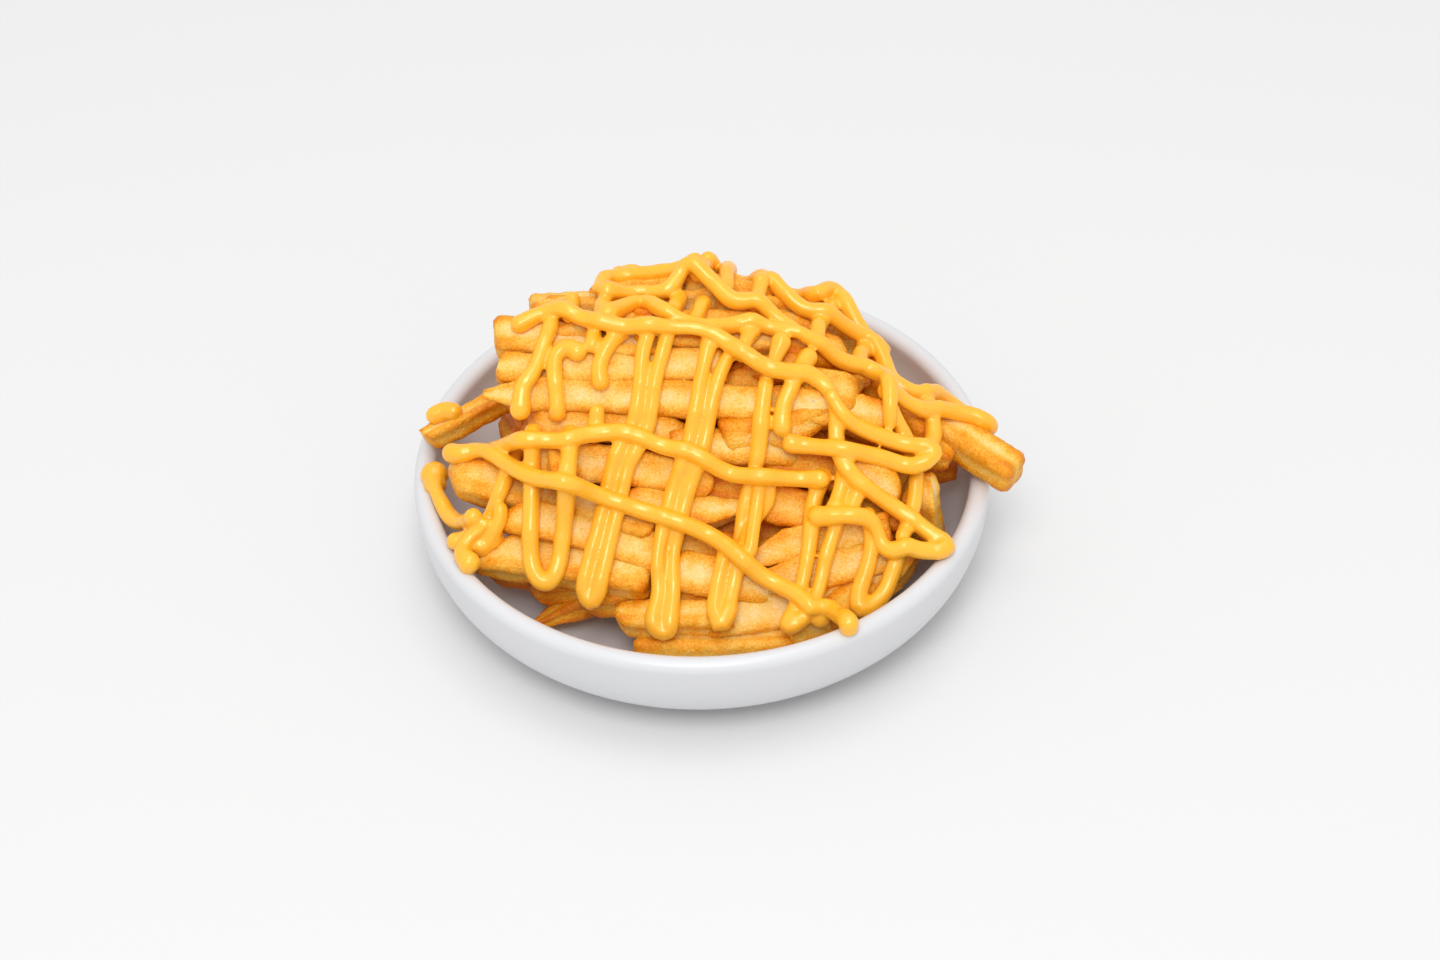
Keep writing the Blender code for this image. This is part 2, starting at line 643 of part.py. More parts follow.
def fuse(base, meshes):
    """Joins the pieces to the base object by one union, then removes them."""
    pieces = bpy.data.collections.new("pieces")
    bpy.context.scene.collection.children.link(pieces)
    for mesh in meshes:
        pieces.objects.link(bpy.data.objects.new("piece", mesh))
    union = base.modifiers.new("union", "BOOLEAN")
    union.operation = "UNION"
    union.operand_type = "COLLECTION"
    union.collection = pieces
    union.solver = "EXACT"
    bpy.context.view_layer.update()
    evaluated = base.evaluated_get(bpy.context.evaluated_depsgraph_get())
    fused = bpy.data.meshes.new_from_object(evaluated)
    base.modifiers.clear()
    base.data = fused
    for piece in list(pieces.objects):
        bpy.data.objects.remove(piece)
    bpy.data.collections.remove(pieces)


def islands(bm):
    """The faces of each connected piece of a mesh."""
    left = set(bm.faces)
    found = []
    while left:
        seed = left.pop()
        island = [seed]
        for face in island:
            for edge in face.edges:
                for other in edge.link_faces:
                    if other in left:
                        left.remove(other)
                        island.append(other)
        found.append(island)
    return found


def part_shared_edges(bm):
    """Where two pairs of triangles meet in one edge, gives one pair a point of its own there."""
    for edge in [e for e in bm.edges if len(e.link_faces) > 2]:
        first = edge.link_faces[0]
        side = next(loop for loop in first.loops if loop.edge == edge)
        start, end = side.vert, side.link_loop_next.vert
        facing = [loop.face for loop in edge.link_loops if loop.vert == end]
        second = max(facing, key=lambda face: face.normal.dot(first.normal))
        tips = [next(v for v in face.verts if v not in edge.verts) for face in (first, second)]
        bmesh.ops.delete(bm, geom=[first, second], context="FACES_ONLY")
        middle = bm.verts.new((start.co + end.co) / 2)
        for corners in ((end, tips[0]), (tips[0], start), (start, tips[1]), (tips[1], end)):
            bm.faces.new((*corners, middle))


def keep_outer_skin(mesh):
    """Leaves the one outer skin: sealed hollows are filled and loose scraps are dropped."""
    bm = bmesh.new()
    bm.from_mesh(mesh)
    pieces = sorted(islands(bm), key=len)
    for island in pieces[:-1]:
        bmesh.ops.delete(bm, geom=island, context="FACES")
    loose = [v for v in bm.verts if not v.link_faces]
    bmesh.ops.delete(bm, geom=loose, context="VERTS")
    bmesh.ops.triangulate(bm, faces=bm.faces)
    part_shared_edges(bm)
    bm.to_mesh(mesh)
    bm.free()


def material(name, colour, roughness):
    made = bpy.data.materials.new(name)
    made.use_nodes = True
    shader = made.node_tree.nodes["Principled BSDF"]
    shader.inputs["Base Color"].default_value = (*colour, 1.0)
    shader.inputs["Roughness"].default_value = roughness
    shader.inputs["Metallic"].default_value = 0.0
    return made


def add_object(name, mesh, surface):
    made = bpy.data.objects.new(name, mesh)
    mesh.materials.clear()
    mesh.materials.append(surface)
    bpy.context.scene.collection.objects.link(made)
    return made


def build():
    for old in list(bpy.data.objects):
        bpy.data.objects.remove(old)
    dish_mesh = turned_mesh("dish", dish_profile(CORNER_STEPS, RIM_STEPS), DISH_SEGMENTS)
    dish_mesh.shade_smooth()
    add_object("dish", dish_mesh, material("white glaze", *DISH_FINISH))
    fry_meshes = [mesh_of_rings("fry", rings) for rings in all_fries()]
    strands = all_strands(fry_meshes, dish_mesh)
    heap = add_object("fries", core_mesh(), material("fried potato", *FRIES_FINISH))
    fuse(heap, fry_meshes + strands)
    keep_outer_skin(heap.data)
    fewer = heap.modifiers.new("fewer faces", "DECIMATE")
    fewer.ratio = KEPT_SHARE


build()
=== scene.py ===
"""Cheese fries in a shallow white dish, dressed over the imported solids.

Sizes and places are in millimetres and become metres where a mesh is made. The fries and the
sauce strands lie close to where the solids have them: each fry is built again with crisp edges,
shaped ends and an uneven skin, and each strand is laid over those fries and melted into its
neighbours.
"""
import json
import math
import random

import bmesh
import bpy
import numpy as np
from mathutils import Matrix, Quaternion, Vector, noise
from mathutils.bvhtree import BVHTree
from mathutils.kdtree import KDTree

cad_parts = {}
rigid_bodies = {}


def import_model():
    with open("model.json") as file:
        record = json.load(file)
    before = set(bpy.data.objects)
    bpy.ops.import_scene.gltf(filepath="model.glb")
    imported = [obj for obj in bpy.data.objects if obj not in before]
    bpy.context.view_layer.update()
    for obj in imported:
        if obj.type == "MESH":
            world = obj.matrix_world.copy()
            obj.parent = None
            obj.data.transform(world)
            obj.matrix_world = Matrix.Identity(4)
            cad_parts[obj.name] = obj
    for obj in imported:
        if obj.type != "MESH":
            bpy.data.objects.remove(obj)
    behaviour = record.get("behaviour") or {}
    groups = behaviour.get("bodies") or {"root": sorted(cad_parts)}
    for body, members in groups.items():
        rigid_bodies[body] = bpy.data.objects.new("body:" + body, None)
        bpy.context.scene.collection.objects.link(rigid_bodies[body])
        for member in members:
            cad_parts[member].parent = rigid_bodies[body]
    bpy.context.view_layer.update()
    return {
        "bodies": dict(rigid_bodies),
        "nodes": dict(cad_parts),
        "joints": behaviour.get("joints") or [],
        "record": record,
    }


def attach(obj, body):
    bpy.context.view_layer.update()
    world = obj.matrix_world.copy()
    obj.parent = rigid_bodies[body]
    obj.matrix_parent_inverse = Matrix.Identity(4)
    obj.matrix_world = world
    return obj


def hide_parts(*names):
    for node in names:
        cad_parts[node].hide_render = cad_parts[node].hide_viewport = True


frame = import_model()

MM = 0.001
UP = Vector((0.0, 0.0, 1.0))
SEED = 21

# Dish
DISH_RADIUS = 90.0
DISH_HEIGHT = 36.0
RIM_WIDTH = 6.4
BASE_RADIUS = 54.0
FLOOR_RADIUS = 50.0
FLOOR_HEIGHT = 5.0
CORNER_HEIGHT = 31.0
OUTER_POWER = 2.3
INNER_POWER = 2.1
CORNER_STEPS = 5
RIM_STEPS = 4
SOLID_SEGMENTS = 64
FINE_CORNER_STEPS = 22
FINE_RIM_STEPS = 14
FINE_SEGMENTS = 192
CLEARANCE = 0.35
FACET_MARGIN = 0.4
EDGE_SAMPLES = 10

# The heap's faces: a point on each, the way it falls in plan, and how steeply
HEAP_FACES = {
    "front": ((0.0, 4.0, 83.0), (0.0, -1.0), 0.914),
    "top": ((0.0, 10.0, 86.0), (0.1, 1.0), 0.12),
    "back left": ((-32.0, 34.0, 79.0), (-0.25, 1.0), 1.15),
    "back right": ((26.0, 31.0, 77.0), (0.45, 1.0), 1.15),
    "right": ((88.0, 0.0, 45.0), (0.97, 0.22), 0.62),
    "left": ((-69.0, 0.0, 74.0), (-1.0, 0.0), 2.2),
}
HEAP_SOFTNESS = 5.0
NORMAL_STEP = 2.0

# The core under the fries, painted in the crust's darkest colours as painted shade deep in the heap
CORE_CENTRE = (4.0, 9.0)
CORE_REACH = (54.0, 49.0)
CORE_DEPTH = 15.0
CORE_SIDES = 96
CORE_LEVELS = 40
CORE_FOOT = 0.8
CORE_FOOT_SHARE = 0.2
CORE_WAIST = 22.0
CORE_TIP = 0.01
CORE_LUMPS = (1.2, 7.0)
CORE_LUMP_RISE = 0.6
# The core's edge, cut, browning and depth marks; its full depth paints it as shade
CORE_SHADE_MARKS = (0.3, 0.3, 0.4, 1.0)

# Fries on the heap's surface: both ends in plan, how deep the top is sunk, width, thickness, roll
FRIES_ON_HEAP = {
    "top centre": (-4, 33, 26, 32, -3.5, 12, 11, 0),
    "top left pale": (-52, 28, 12, 30, -1.5, 11, 10, 0),
    "top left second": (-45, 13, 22, 17, 1, 10, 9, 10),
    "top middle": (-20, 8, 31, 10, 0, 10, 10, 0),
    "top right": (6, 26, 42, 24, 0, 11, 10, 0),
    "top right tip": (18, 26, 47, 41, -2, 10, 9, 15),
    "left broad": (-66, 14, -12, 3, 0, 13, 10, -8),
    "left under broad": (-61, -1, -30, -3, 1, 10, 10, 0),
    "upper front": (-43, -3, 8, -3, 0, 11, 11, 0),
    "upper right brown": (10, 0, 34, -2, 2, 10, 10, 0),
    "upper dark": (2, -5, 26, -7, 4, 10, 9, 0),
    "long front": (-67, -6, 41, -13, -1, 11, 10, 0),
    "wedge": (6, -19, 42, -15, -1, 12, 12, 30),
    "under wedge": (-10, -21, 29, -23, 1, 11, 11, 0),
    "behind left": (-52, -15, 4, -18, 2, 10, 10, 0),
    "rounded middle": (-52, -22, 3, -29, 0, 11, 10, 0),
    "shaded right": (16, -22, 46, -30, 3, 11, 10, 0),
    "shaded block": (12, -33, 36, -37, 2, 12, 11, 0),
    "middle pale": (-24, -33, 16, -37, 1, 10, 10, 0),
    "middle shaded": (-10, -29, 20, -32, 4, 10, 9, 0),
    "lower middle": (-60, -35, -12, -46, 0, 11, 10, 0),
    "lower dark": (-16, -43, 14, -45, 4, 10, 9, 0),
    "lower right upper": (10, -46, 56, -41, 0, 11, 10, 0),
    "lower centre": (-12, -48, 24, -54, 0, 12, 11, 0),
    "lower right": (14, -52, 56, -46, 0, 11, 10, 0),
    "low centre dark": (-14, -54, 10, -58, 3, 10, 9, 0),
    "low pale": (0, -60, 34, -58, 0, 13, 10, 0),
    "right block": (28, -8, 51, -5, -1, 14, 13, 20),
    "right crisp": (24, 5, 49, 14, 0, 12, 10, 10),
    "right small": (46, 6, 62, 12, 2, 10, 9, 0),
    "right broken": (40, -12, 57, -14, 1, 12, 10, 0),
    "right rounded": (40, -26, 60, -33, 0, 12, 11, 0),
    "right dark": (38, -33, 64, -40, 5, 10, 10, 0),
    "right back": (54, 20, 74, -10, 3, 10, 10, 0),
    "right low": (34, -58, 63, -46, 2, 11, 10, 0),
}

# Fries that make the crest, laid after all the others
CREST_FRIES = {
    "crest left": (-33, 33, -4, 31.5, -2.0, 10, 10, 0),
}

# Fries with their own heights: both ends, width, thickness, roll
FRIES_BY_ENDS = {
    "left long": ((-77.5, -15, 46), (-14, -35, 40), 12.5, 12, 30),
    "left bottom": ((-67, -37, 33), (-17, -49, 31), 12, 12, 15),
    "left dark stub": ((-66, -34, 23), (-30, -40, 24), 9, 9, 0),
    "left dark under": ((-54, -40, 20), (-20, -38, 22), 9, 9, 0),
    "pointed": ((-54, -48, 15), (-20, -32, 14), 9, 8, 0),
    "front dark": ((-38, -48, 22), (-6, -46, 24), 9, 9, 0),
    "front low left": ((-27, -56, 22), (8, -60, 24), 10, 10, 0),
    "front bottom": ((-21, -62, 16), (26, -64, 17), 10, 10, 0),
    "front right bottom": ((24, -64, 23), (58, -45, 24), 10, 10, 0),
    "left rim": ((-85.7, 6.5, 40.8), (-38, 26, 55), 7, 7, 0),
    "left back": ((-58, 14, 66), (-20, 40, 68), 10, 10, 0),
    "left deep": ((-60, -8, 52), (-30, 6, 56), 10, 10, 0),
    "right rim": ((48, 18, 51), (95.6, -19.7, 42), 12, 11, 0),
    "right upright": ((65, -26, 46), (68, -27, 22), 9, 11, 0),
    "right front edge": ((36, -60, 24), (65, -36, 26), 10, 9, 0),
    "right inner": ((50, -2, 46), (77, -12, 43), 10, 9, 0),
    "right shaded": ((52, 2, 32), (79, -6, 31), 10, 9, 0),
}

# Fries paler or browner than most, from -1, pale, to 1, dark: partly their own browning, and partly
# painted shade for the fries named shaded or dark, which lie in shade
BROWNING_AND_SHADE = {
    "top left pale": -0.5, "left broad": -0.3, "upper front": -0.2, "long front": -0.3,
    "upper right brown": 0.9, "upper dark": 1.0, "wedge": 0.4, "under wedge": 0.1,
    "rounded middle": -0.1, "shaded right": 0.7, "shaded block": 0.5, "middle shaded": 0.8,
    "lower dark": 0.9, "low centre dark": 0.9, "low pale": -0.4, "lower centre": -0.2,
    "right block": 0.1, "right crisp": 0.7, "right dark": 0.9, "right back": 0.4,
    "left dark stub": 0.5, "left dark under": 0.3, "pointed": 0.1, "front dark": 0.7,
    "left deep": 0.2, "right shaded": 0.7, "right upright": -0.5, "right rim": 0.0,
    "left long": 0.0, "left bottom": -0.1, "left rim": -0.1, "right rounded": -0.3,
}

# Fries of the back and the second layer, laid by rule inside an oval
FRY_LENGTH = (55.0, 95.0)
FRY_SIDE = (9.0, 11.5)
RULED_ROLL = 20.0
RULED_CENTRE = (6.0, 5.0)
RULED_REACH = (58.0, 67.0)
BACK_ROWS = ((36.0, 5), (47.0, 4), (57.0, 4), (66.0, 3))
BACK_HALF_WIDTH = 50.0
BACK_NARROWING = 0.5
BACK_JITTER = (5.0, 4.0)
BACK_DEPTH = 0.5
BACK_SPREAD = 42.0
RING_CENTRE = (4.0, 8.0)
RING_REACH = (57.0, 55.0)
RING_SPREAD = 16.0
RING_LENGTH = (42.0, 58.0)
RING_TILT = 5.0
LAYER_ROWS = (-58.0, -46.0, -34.0, -22.0, -10.0, 2.0, 16.0, 30.0)
LAYER_CENTRE = 4.0
LAYER_JITTER = 16.0
LAYER_DEPTH = 9.0
LAYER_SPREAD = 18.0
BACK_BROWNING = (-0.5, 0.7)

# Rings of low fries: height, share of the reach, first and last angle, count
RINGS = (
    (21.0, 1.0, 0.0, 165.0, 5),
    (34.0, 1.0, -20.0, 185.0, 6),
    (47.0, 0.93, 145.0, 190.0, 3),
    (58.0, 0.86, 140.0, 195.0, 3),
)

# Shape of one fry
CHAMFER = 0.22
SOLID_RINGS = (0.0, 0.06, 0.94, 1.0)
END_SHRINK = 0.72
FRY_BOW = (-0.02, 0.03)
BOW_SHOWN = 0.35
FRY_TAPER = 0.1
END_SKEW = 0.25
CORNER_RADIUS = (0.13, 0.25)
SIZE_SPREAD = (0.92, 1.07)
OWN_ROLL = 15.0
WEDGE = 0.13
SWING = 0.022
HOLLOW = 0.8
# Painted shade between the fries: how deep in the heap it starts, and over what depth it reaches its
# full darkness
SHADE_DEPTH_START = 5.0
SHADE_DEPTH_SPAN = 10.0
CORNER_POINTS = 4
SIDE_POINTS = 5
FRONT_RING_GAP = 1.25
BACK_RING_GAP = 1.8
BACK_NUMBERS = 100

# Marks that the fries' points carry for the crust: how near an edge and a cut end they are, how
# brown, and how deep in the heap; the depth darkens the crust as painted shade between the fries
MARKS = ("edge", "cut", "browning", "depth")
EDGE_FADE = 1.5
CUT_FADE = 3.5
CUT_POWER = 1.5
FACE_TINT = 0.35
OWN_BROWNING = 0.15
BLOTCHES = (0.35, 13.0)

# Lumps of a fry's skin: how far they stand out, and how large they are
SIZE_LUMPS = (0.08, 16.0)
SKIN_LUMPS = (0.42, 8.0)
SKIN_GRAIN = (0.17, 3.1)
EDGE_CRUMBLE = (0.38, 2.3)
END_RAGS = (0.7, 4.2)
FINE_END_RAGS = (0.3, 1.5)

# Loose crumbs of crust
CRUMB_COUNT = 700
CRUMB_SIZE = (0.18, 0.42)
CRUMB_STRETCH = (0.6, 1.4)
CRUMB_BROWNING = (-0.8, -0.3, 0.3, 0.9)
CRUMB_LIFT = 0.4
CRUMB_BUMPS = 0.3
CRUMB_VARIETY = 5000.0
CRUMB_OFF_EDGES = 0.25
CRUMB_RANGE = 0.999

# How a fry's end closes: over what length, to what share of its size, and how sharply
END_STYLES = {
    "blunt": (2.4, 0.82, 2.2),
    "rounded": (6.0, 0.45, 2.2),
    "slanted": (9.0, 0.5, 1.4),
    "pointed": (15.0, 0.2, 1.1),
}
DRAWN_ENDS = ("blunt", "blunt", "rounded", "rounded", "slanted", "pointed")
END_LEAN = 0.9
# Ends that show plainly: the first and the second end of the fry
SHOWN_ENDS = {
    "wedge": ("blunt", "pointed"), "under wedge": ("blunt", "slanted"),
    "rounded middle": ("blunt", "rounded"), "long front": ("pointed", "blunt"),
    "left broad": ("blunt", "blunt"), "pointed": ("pointed", "blunt"),
    "right rim": ("blunt", "blunt"), "right rounded": ("blunt", "rounded"),
    "right upright": ("rounded", "blunt"), "left rim": ("blunt", "blunt"),
    "left long": ("rounded", "blunt"), "right broken": ("slanted", "blunt"),
    "lower middle": ("slanted", "blunt"), "front low left": ("rounded", "blunt"),
    "top left pale": ("blunt", "blunt"), "right inner": ("blunt", "rounded"),
    "middle pale": ("rounded", "pointed"), "left bottom": ("slanted", "blunt"),
}
CAP_RINGS = (0.8, 0.5, 0.22)
CAP_BULGE = 0.5
TWIST = 7.0

# Sauce strands: turning points in plan
STRAND_RADIUS = 2.6
ARM_GAP = 4.3
ARM_SKIP = 6
ARM_PASSES = 12
ARM_PUSH = 0.25
DOWN_STROKES = (
    ((-44, 12), (-46, 5), (-49.5, -3), (-53, -7), (-54, -12)),
    ((-36.5, 1), (-40, 2.3), (-43, 0), (-43.5, -4), (-43, -9), (-43, -13)),
    ((-23, 7), (-28, 1), (-30, -3), (-29.7, -6.3)),
    ((-14, 7), (-17, -1), (-19, -16), (-25.5, -23), (-30, -35), (-36, -50), (-34.5, -55),
     (-31.5, -51), (-27, -38), (-22, -24), (-16, -14), (-12, -3), (-9, 5)),
    ((4, 4), (0, -8), (-3, -21), (-9, -31), (-14, -45), (-14, -53), (-16, -60), (-12, -62),
     (-10.2, -55), (-9.2, -44), (-4.5, -31), (1, -18), (6, -6), (11, 2)),
    ((21, -4), (18.5, -14), (16.5, -25), (13, -33), (10.5, -42), (9, -50), (6, -58), (3.5, -61),
     (3, -54), (6.2, -45)),
    ((20, -29), (19.5, -34), (15, -38.5), (11.5, -44)),
    ((33, 0), (28, -8), (25, -13), (24.3, -17.8)),
    ((36, -29), (33, -35), (31, -45), (27.3, -56), (24, -62.5), (26.5, -64.5), (33, -55),
     (36.5, -46), (41, -37)),
    ((43, -28), (39.5, -36)),
    ((47.3, -31), (43.3, -38)),
    ((49, -38), (49.5, -46), (45.5, -57), (46, -61.3), (53.5, -55.5), (58.5, -45)),
    ((65, -25), (63.5, -34), (59, -44)),
    ((57, -10), (61, -16), (64, -24)),
    ((70, 2), (70.8, -12), (66, -24)),
    ((-50.5, -17), (-51.5, -32), (-52, -46), (-48.3, -51), (-44, -47), (-41, -33), (-39, -18)),
    ((-55.8, -18.5), (-58.3, -24), (-61, -29.5), (-65, -33.5), (-70, -34.7), (-75, -36.5)),
    ((-61, -33.5), (-61.5, -36), (-64.5, -38.5)),
    ((-66, -36), (-70, -37.5), (-72.3, -40), (-72.5, -43), (-70.5, -46)),
    ((-83.3, -6), (-82.9, -10.5), (-81, -16.5), (-77, -24.3), (-72.3, -30), (-69.3, -34)),
    ((-83, 11), (-80, 11.8), (-77, 10.8)),
    ((-31, -13), (-32, -18)),
    ((25, 3), (22, -4)),
    ((16, 7), (13, -1)),
    ((10, 36), (9, 24)),
    ((20, 28), (18, 19)),
    ((38, 21), (36, 8)),
    ((43, 36), (40, 26)),
    ((52, 21), (49, 8)),
    ((-38, 22), (-39, 13)),
    ((-28, 22), (-29, 12)),
    ((-5, 22), (-8, 12)),
    ((2, 19), (-1, 9)),
    ((2, 44), (3, 36), (1, 28)),
    ((-31.3, 6), (-32, 2.6)),
    ((17.3, -29.5), (15.5, -37), (13.5, -45)),
)
ACROSS_STROKES = (
    ((-30, 24), (-27.5, 31), (-21, 34), (-14, 32.5), (-6, 30.8), (0, 30)),
    ((-27, 21), (-18, 24), (-9, 23), (-3, 27), (4, 24), (11, 18), (20, 16), (30, 9)),
    ((23, 37), (29, 42), (35, 38), (38, 34), (44, 37), (50, 29), (58, 22)),
    ((4, 38), (12, 43), (18, 39), (24, 30), (31, 24), (40, 21), (52, 22), (57, 16), (60, 7), (68, 4),
     (76, 9), (84, 5), (89, -3), (78, -2), (66, -7), (57, -6)),
    ((-27, 11), (-17, 19), (-9, 11), (3, 7), (16, 10), (28, 7), (42, 4), (52, 4), (57, -3),
     (57, -16)),
    ((-54, 12), (-45, 15), (-34, 10), (-24, 7), (1, 5), (12, 0), (22, -5), (34, -6), (40, -12),
     (41, -23), (46, -30), (64, -40), (72, -46.5), (62, -48.5), (54, -46.5), (49, -39), (34, -38)),
    ((39.5, -11.5), (44, -16.5), (54, -20), (66, -22), (70, -24), (64, -27), (50, -24.5), (27, -21.5)),
    ((-64, -20), (-56, -19), (-50, -19), (-41, -19.4), (-34, -18.2), (-23, -18), (-11, -21.4),
     (-3, -23), (6, -27), (14, -28.6), (35, -29.7)),
    ((-76, -12.5), (-72, -15.5), (-54, -26), (-39, -29.5), (-27, -33), (-5, -39), (5, -43),
     (16, -50.3), (27, -55.3), (32.5, -60), (37, -65.5), (41, -77)),
)
# Where the sauce has gathered in a drop: place in plan and radius
DROPS = (
    (-83.2, -6, 4.4), (-82.8, -10, 3.6), (-64.5, -37, 4.1), (-67.5, -38, 3.5),
    (-71, -46, 2.9), (-81.2, 11.4, 3.0), (-78.6, 11.4, 2.8), (41, -77, 2.9), (33.5, -65, 3.1),
)
DROP_SINK = 0.45
DROP_LENGTH = 0.1

# Strokes of the back: a row of narrow loops down it, and one wavy stroke across it
BACK_STROKES = 5
BACK_STROKE_FIRST = -24.0
BACK_STROKE_GAP = 16.0
BACK_STROKE_TOP = 47.0
BACK_STROKE_MIDDLE = 52.0
BACK_STROKE_REACH = 64.0
BACK_STROKE_JITTER = (-4.0, 6.0)
BACK_STROKE_DROOP = (0.25, 0.12)
BACK_STROKE_STEPS = (2.0, 3.0, 6.0, 7.0, 8.0)
BACK_ACROSS_TURNS = 9
BACK_ACROSS_FIRST = -30.0
BACK_ACROSS_GAP = 10.0
BACK_ACROSS_PLACE = 65.0
BACK_ACROSS_WAVE = 3.0
BACK_ACROSS_CURVE = 0.006

# How a strand lies: a small step along it, what it sinks in, and how it sags between fries
STRAND_STEP = 1.25
STRAND_SINK = 0.35
CROSSING_SINK = 0.9
STRAND_CLEARANCE = 0.6
SAG = 0.075
SAG_PASSES = 150
DRAPE_START = 30.0
DEEPEST_DRAPE = 20.0
DRAPE_INSIDE = 66.0
DRAPE_RIM = 78.0
# Where a ball laid on the heap is tried: share of its radius, and how many places round it
PRESS_RINGS = ((0.0, 1), (0.5, 5), (0.9, 7))

# How thick a strand is along its length, and how the strands melt together
STRAND_SIDES = 14
DOME_ANGLES = (25, 50, 80)
SWELL = 0.12
MELT_VOXEL = 0.42
SOFTENING = 0.5
SOFTENING_PASSES = 2
TWIN_REACH = 6.4
TWIN_JOIN = 4.9
TWIN_SHARE = 0.53
TWIN_GAP = 0.5
TWIN_APART = 2.5
TWIN_ALONG = 0.85
TWIN_PASSES = 3
THINNEST = 0.8
RIB_COUNT = 5
RIB_DRIFT = 60.0
STRAND_LUMPS = (0.09, 11.0)
STRAND_RIPPLES = (0.045, 4.0)
BEAD = (0.05, 0.3)
BEAD_REACH = 3.6
NECK = (0.0, 0.2)
NECK_PLACE = 7.5
NECK_REACH = 3.0
TURN_THICKENING = 0.14
TURN_REACH = 4
FULL_TURN = 1.5
SAUCE_SHARE = 0.27

# Colours by tone, as a screen shows them
# The darkest tones are reached mostly where painted shade is laid, deep in the heap and on its core
CRUST_COLOURS = (
    (0.0, (248, 220, 156)), (0.22, (247, 206, 116)), (0.42, (245, 187, 70)),
    (0.6, (239, 162, 30)), (0.8, (228, 134, 8)), (1.0, (206, 106, 3)),
)
SAUCE_COLOURS = ((0.2, (255, 190, 50)), (0.8, (255, 176, 30)))
GLAZE_COLOURS = ((0.2, (212, 213, 216)), (0.8, (217, 217, 219)))
FLOOR_COLOURS = ((0.2, (223, 223, 223)), (0.8, (225, 225, 225)))

MIDDLE_TONE = 0.5

# The crust's tone: where it starts, and how much each mark darkens it; the darkening by depth is
# painted shade between the fries
CRUST_TONE = 0.26
CRUST_BROWNING = 0.29
CRUST_DARKENING = (("edge", 0.29), ("cut", 0.22), ("depth", 0.27))
CRUST_ROUGHNESS = 0.62
CRUST_OILINESS = -0.28
CRUST_GRAIN_ROUGHNESS = 0.3
CRUST_SMOOTHEST = 0.4
RIB_DEPTH = 0.5
# How much the clouds change the roughness, and where it starts
SAUCE_ROUGHNESS = (0.12, 0.27)
GLAZE_ROUGHNESS = (0.15, 0.3)

# Camera: lens in millimetres, place in metres, and turns in degrees
LENS = 65.0
SENSOR = 36.0
CLIP_START = 0.01
CAMERA_PLACE = Vector((0.0, -0.5995, 0.5851))
CAMERA_PITCH = 42.8
CAMERA_TURNS = (-0.22, -0.383, 1.9)

# Light: the sky's strength, and each lamp's place and size, in metres, and its power
SKY_STRENGTH = 0.78
LAMPS = {
    "key": ((0.1, 0.05, 2.0), 0.9, 6.5),
    "front": ((-0.1, -0.95, 1.75), 0.8, 15.0),
}
LAMP_TARGET = Vector((0.0, 0.0, 0.04))
FLOOR_REACH = 4000.0


def heap_height(x, y):
    """Height of the heap's outer form: the lowest of its faces, blended where they meet."""
    heights = []
    for (px, py, pz), (dx, dy), fall in HEAP_FACES.values():
        run = ((x - px) * dx + (y - py) * dy) / math.hypot(dx, dy)
        heights.append(pz - run * fall)
    low = min(heights)
    blend = sum(math.exp((low - h) / HEAP_SOFTNESS) for h in heights)
    return low - HEAP_SOFTNESS * math.log(blend)


def heap_normal(x, y):
    """The way straight out of the heap's form at a place in plan."""
    step = NORMAL_STEP
    slope_x = (heap_height(x + step, y) - heap_height(x - step, y)) / (2 * step)
    slope_y = (heap_height(x, y + step) - heap_height(x, y - step)) / (2 * step)
    return Vector((-slope_x, -slope_y, 1.0)).normalized()


def wave(place, size, offset=0.0):
    """Smooth noise from -1 to 1 whose lumps are about this many millimetres across."""
    return noise.noise(place / size + Vector((offset, -offset, offset * 0.5)))


def lumps(place, kind, offset, share=1.0):
    """How far a kind of lump stands out at a place."""
    far, size = kind
    return share * far * wave(place, size, offset)


def circle(count):
    """Cosine and sine of evenly spaced angles all the way round."""
    for i in range(count):
        angle = 2 * math.pi * i / count
        yield math.cos(angle), math.sin(angle)


def add_bands(faces, base, rings, count):
    """Adds the faces between rings of so many points each, which follow one another."""
    for ring in range(rings - 1):
        a, b = base + ring * count, base + (ring + 1) * count
        for k in range(count):
            j = (k + 1) % count
            faces.append((a + k, a + j, b + j, b + k))


def add_marks(marks, *values, count=1):
    """Adds the same marks for so many points."""
    for mark, value in zip(MARKS, values):
        marks[mark] += [value] * count


def corner_curve(low_radius, high_radius, low, high, power, steps):
    """Points up a rounded corner, from the flat base to the upright wall."""
    points = []
    for i in range(steps + 1):
        angle = math.pi / 2 * i / steps
        out = math.sin(angle) ** (2 / power)
        rise = 1 - math.cos(angle) ** (2 / power)
        points.append((low_radius + (high_radius - low_radius) * out, low + (high - low) * rise))
    return points


def dish_profile(corner_steps, rim_steps):
    """Half section of the dish, from the edge of its base round the rim to its floor."""
    inner_radius = DISH_RADIUS - RIM_WIDTH
    rim_radius = RIM_WIDTH / 2
    rim_centre = DISH_HEIGHT - rim_radius
    profile = corner_curve(BASE_RADIUS, DISH_RADIUS, 0, CORNER_HEIGHT, OUTER_POWER, corner_steps)
    for i in range(rim_steps + 1):
        angle = math.pi * i / rim_steps
        radius = DISH_RADIUS - rim_radius + rim_radius * math.cos(angle)
        profile.append((radius, rim_centre + rim_radius * math.sin(angle)))
    inner = corner_curve(FLOOR_RADIUS, inner_radius, FLOOR_HEIGHT, CORNER_HEIGHT, INNER_POWER,
                         corner_steps)
    return profile + inner[::-1]


SOLID_DISH = dish_profile(CORNER_STEPS, RIM_STEPS)[::-1][:CORNER_STEPS + RIM_STEPS + 2]


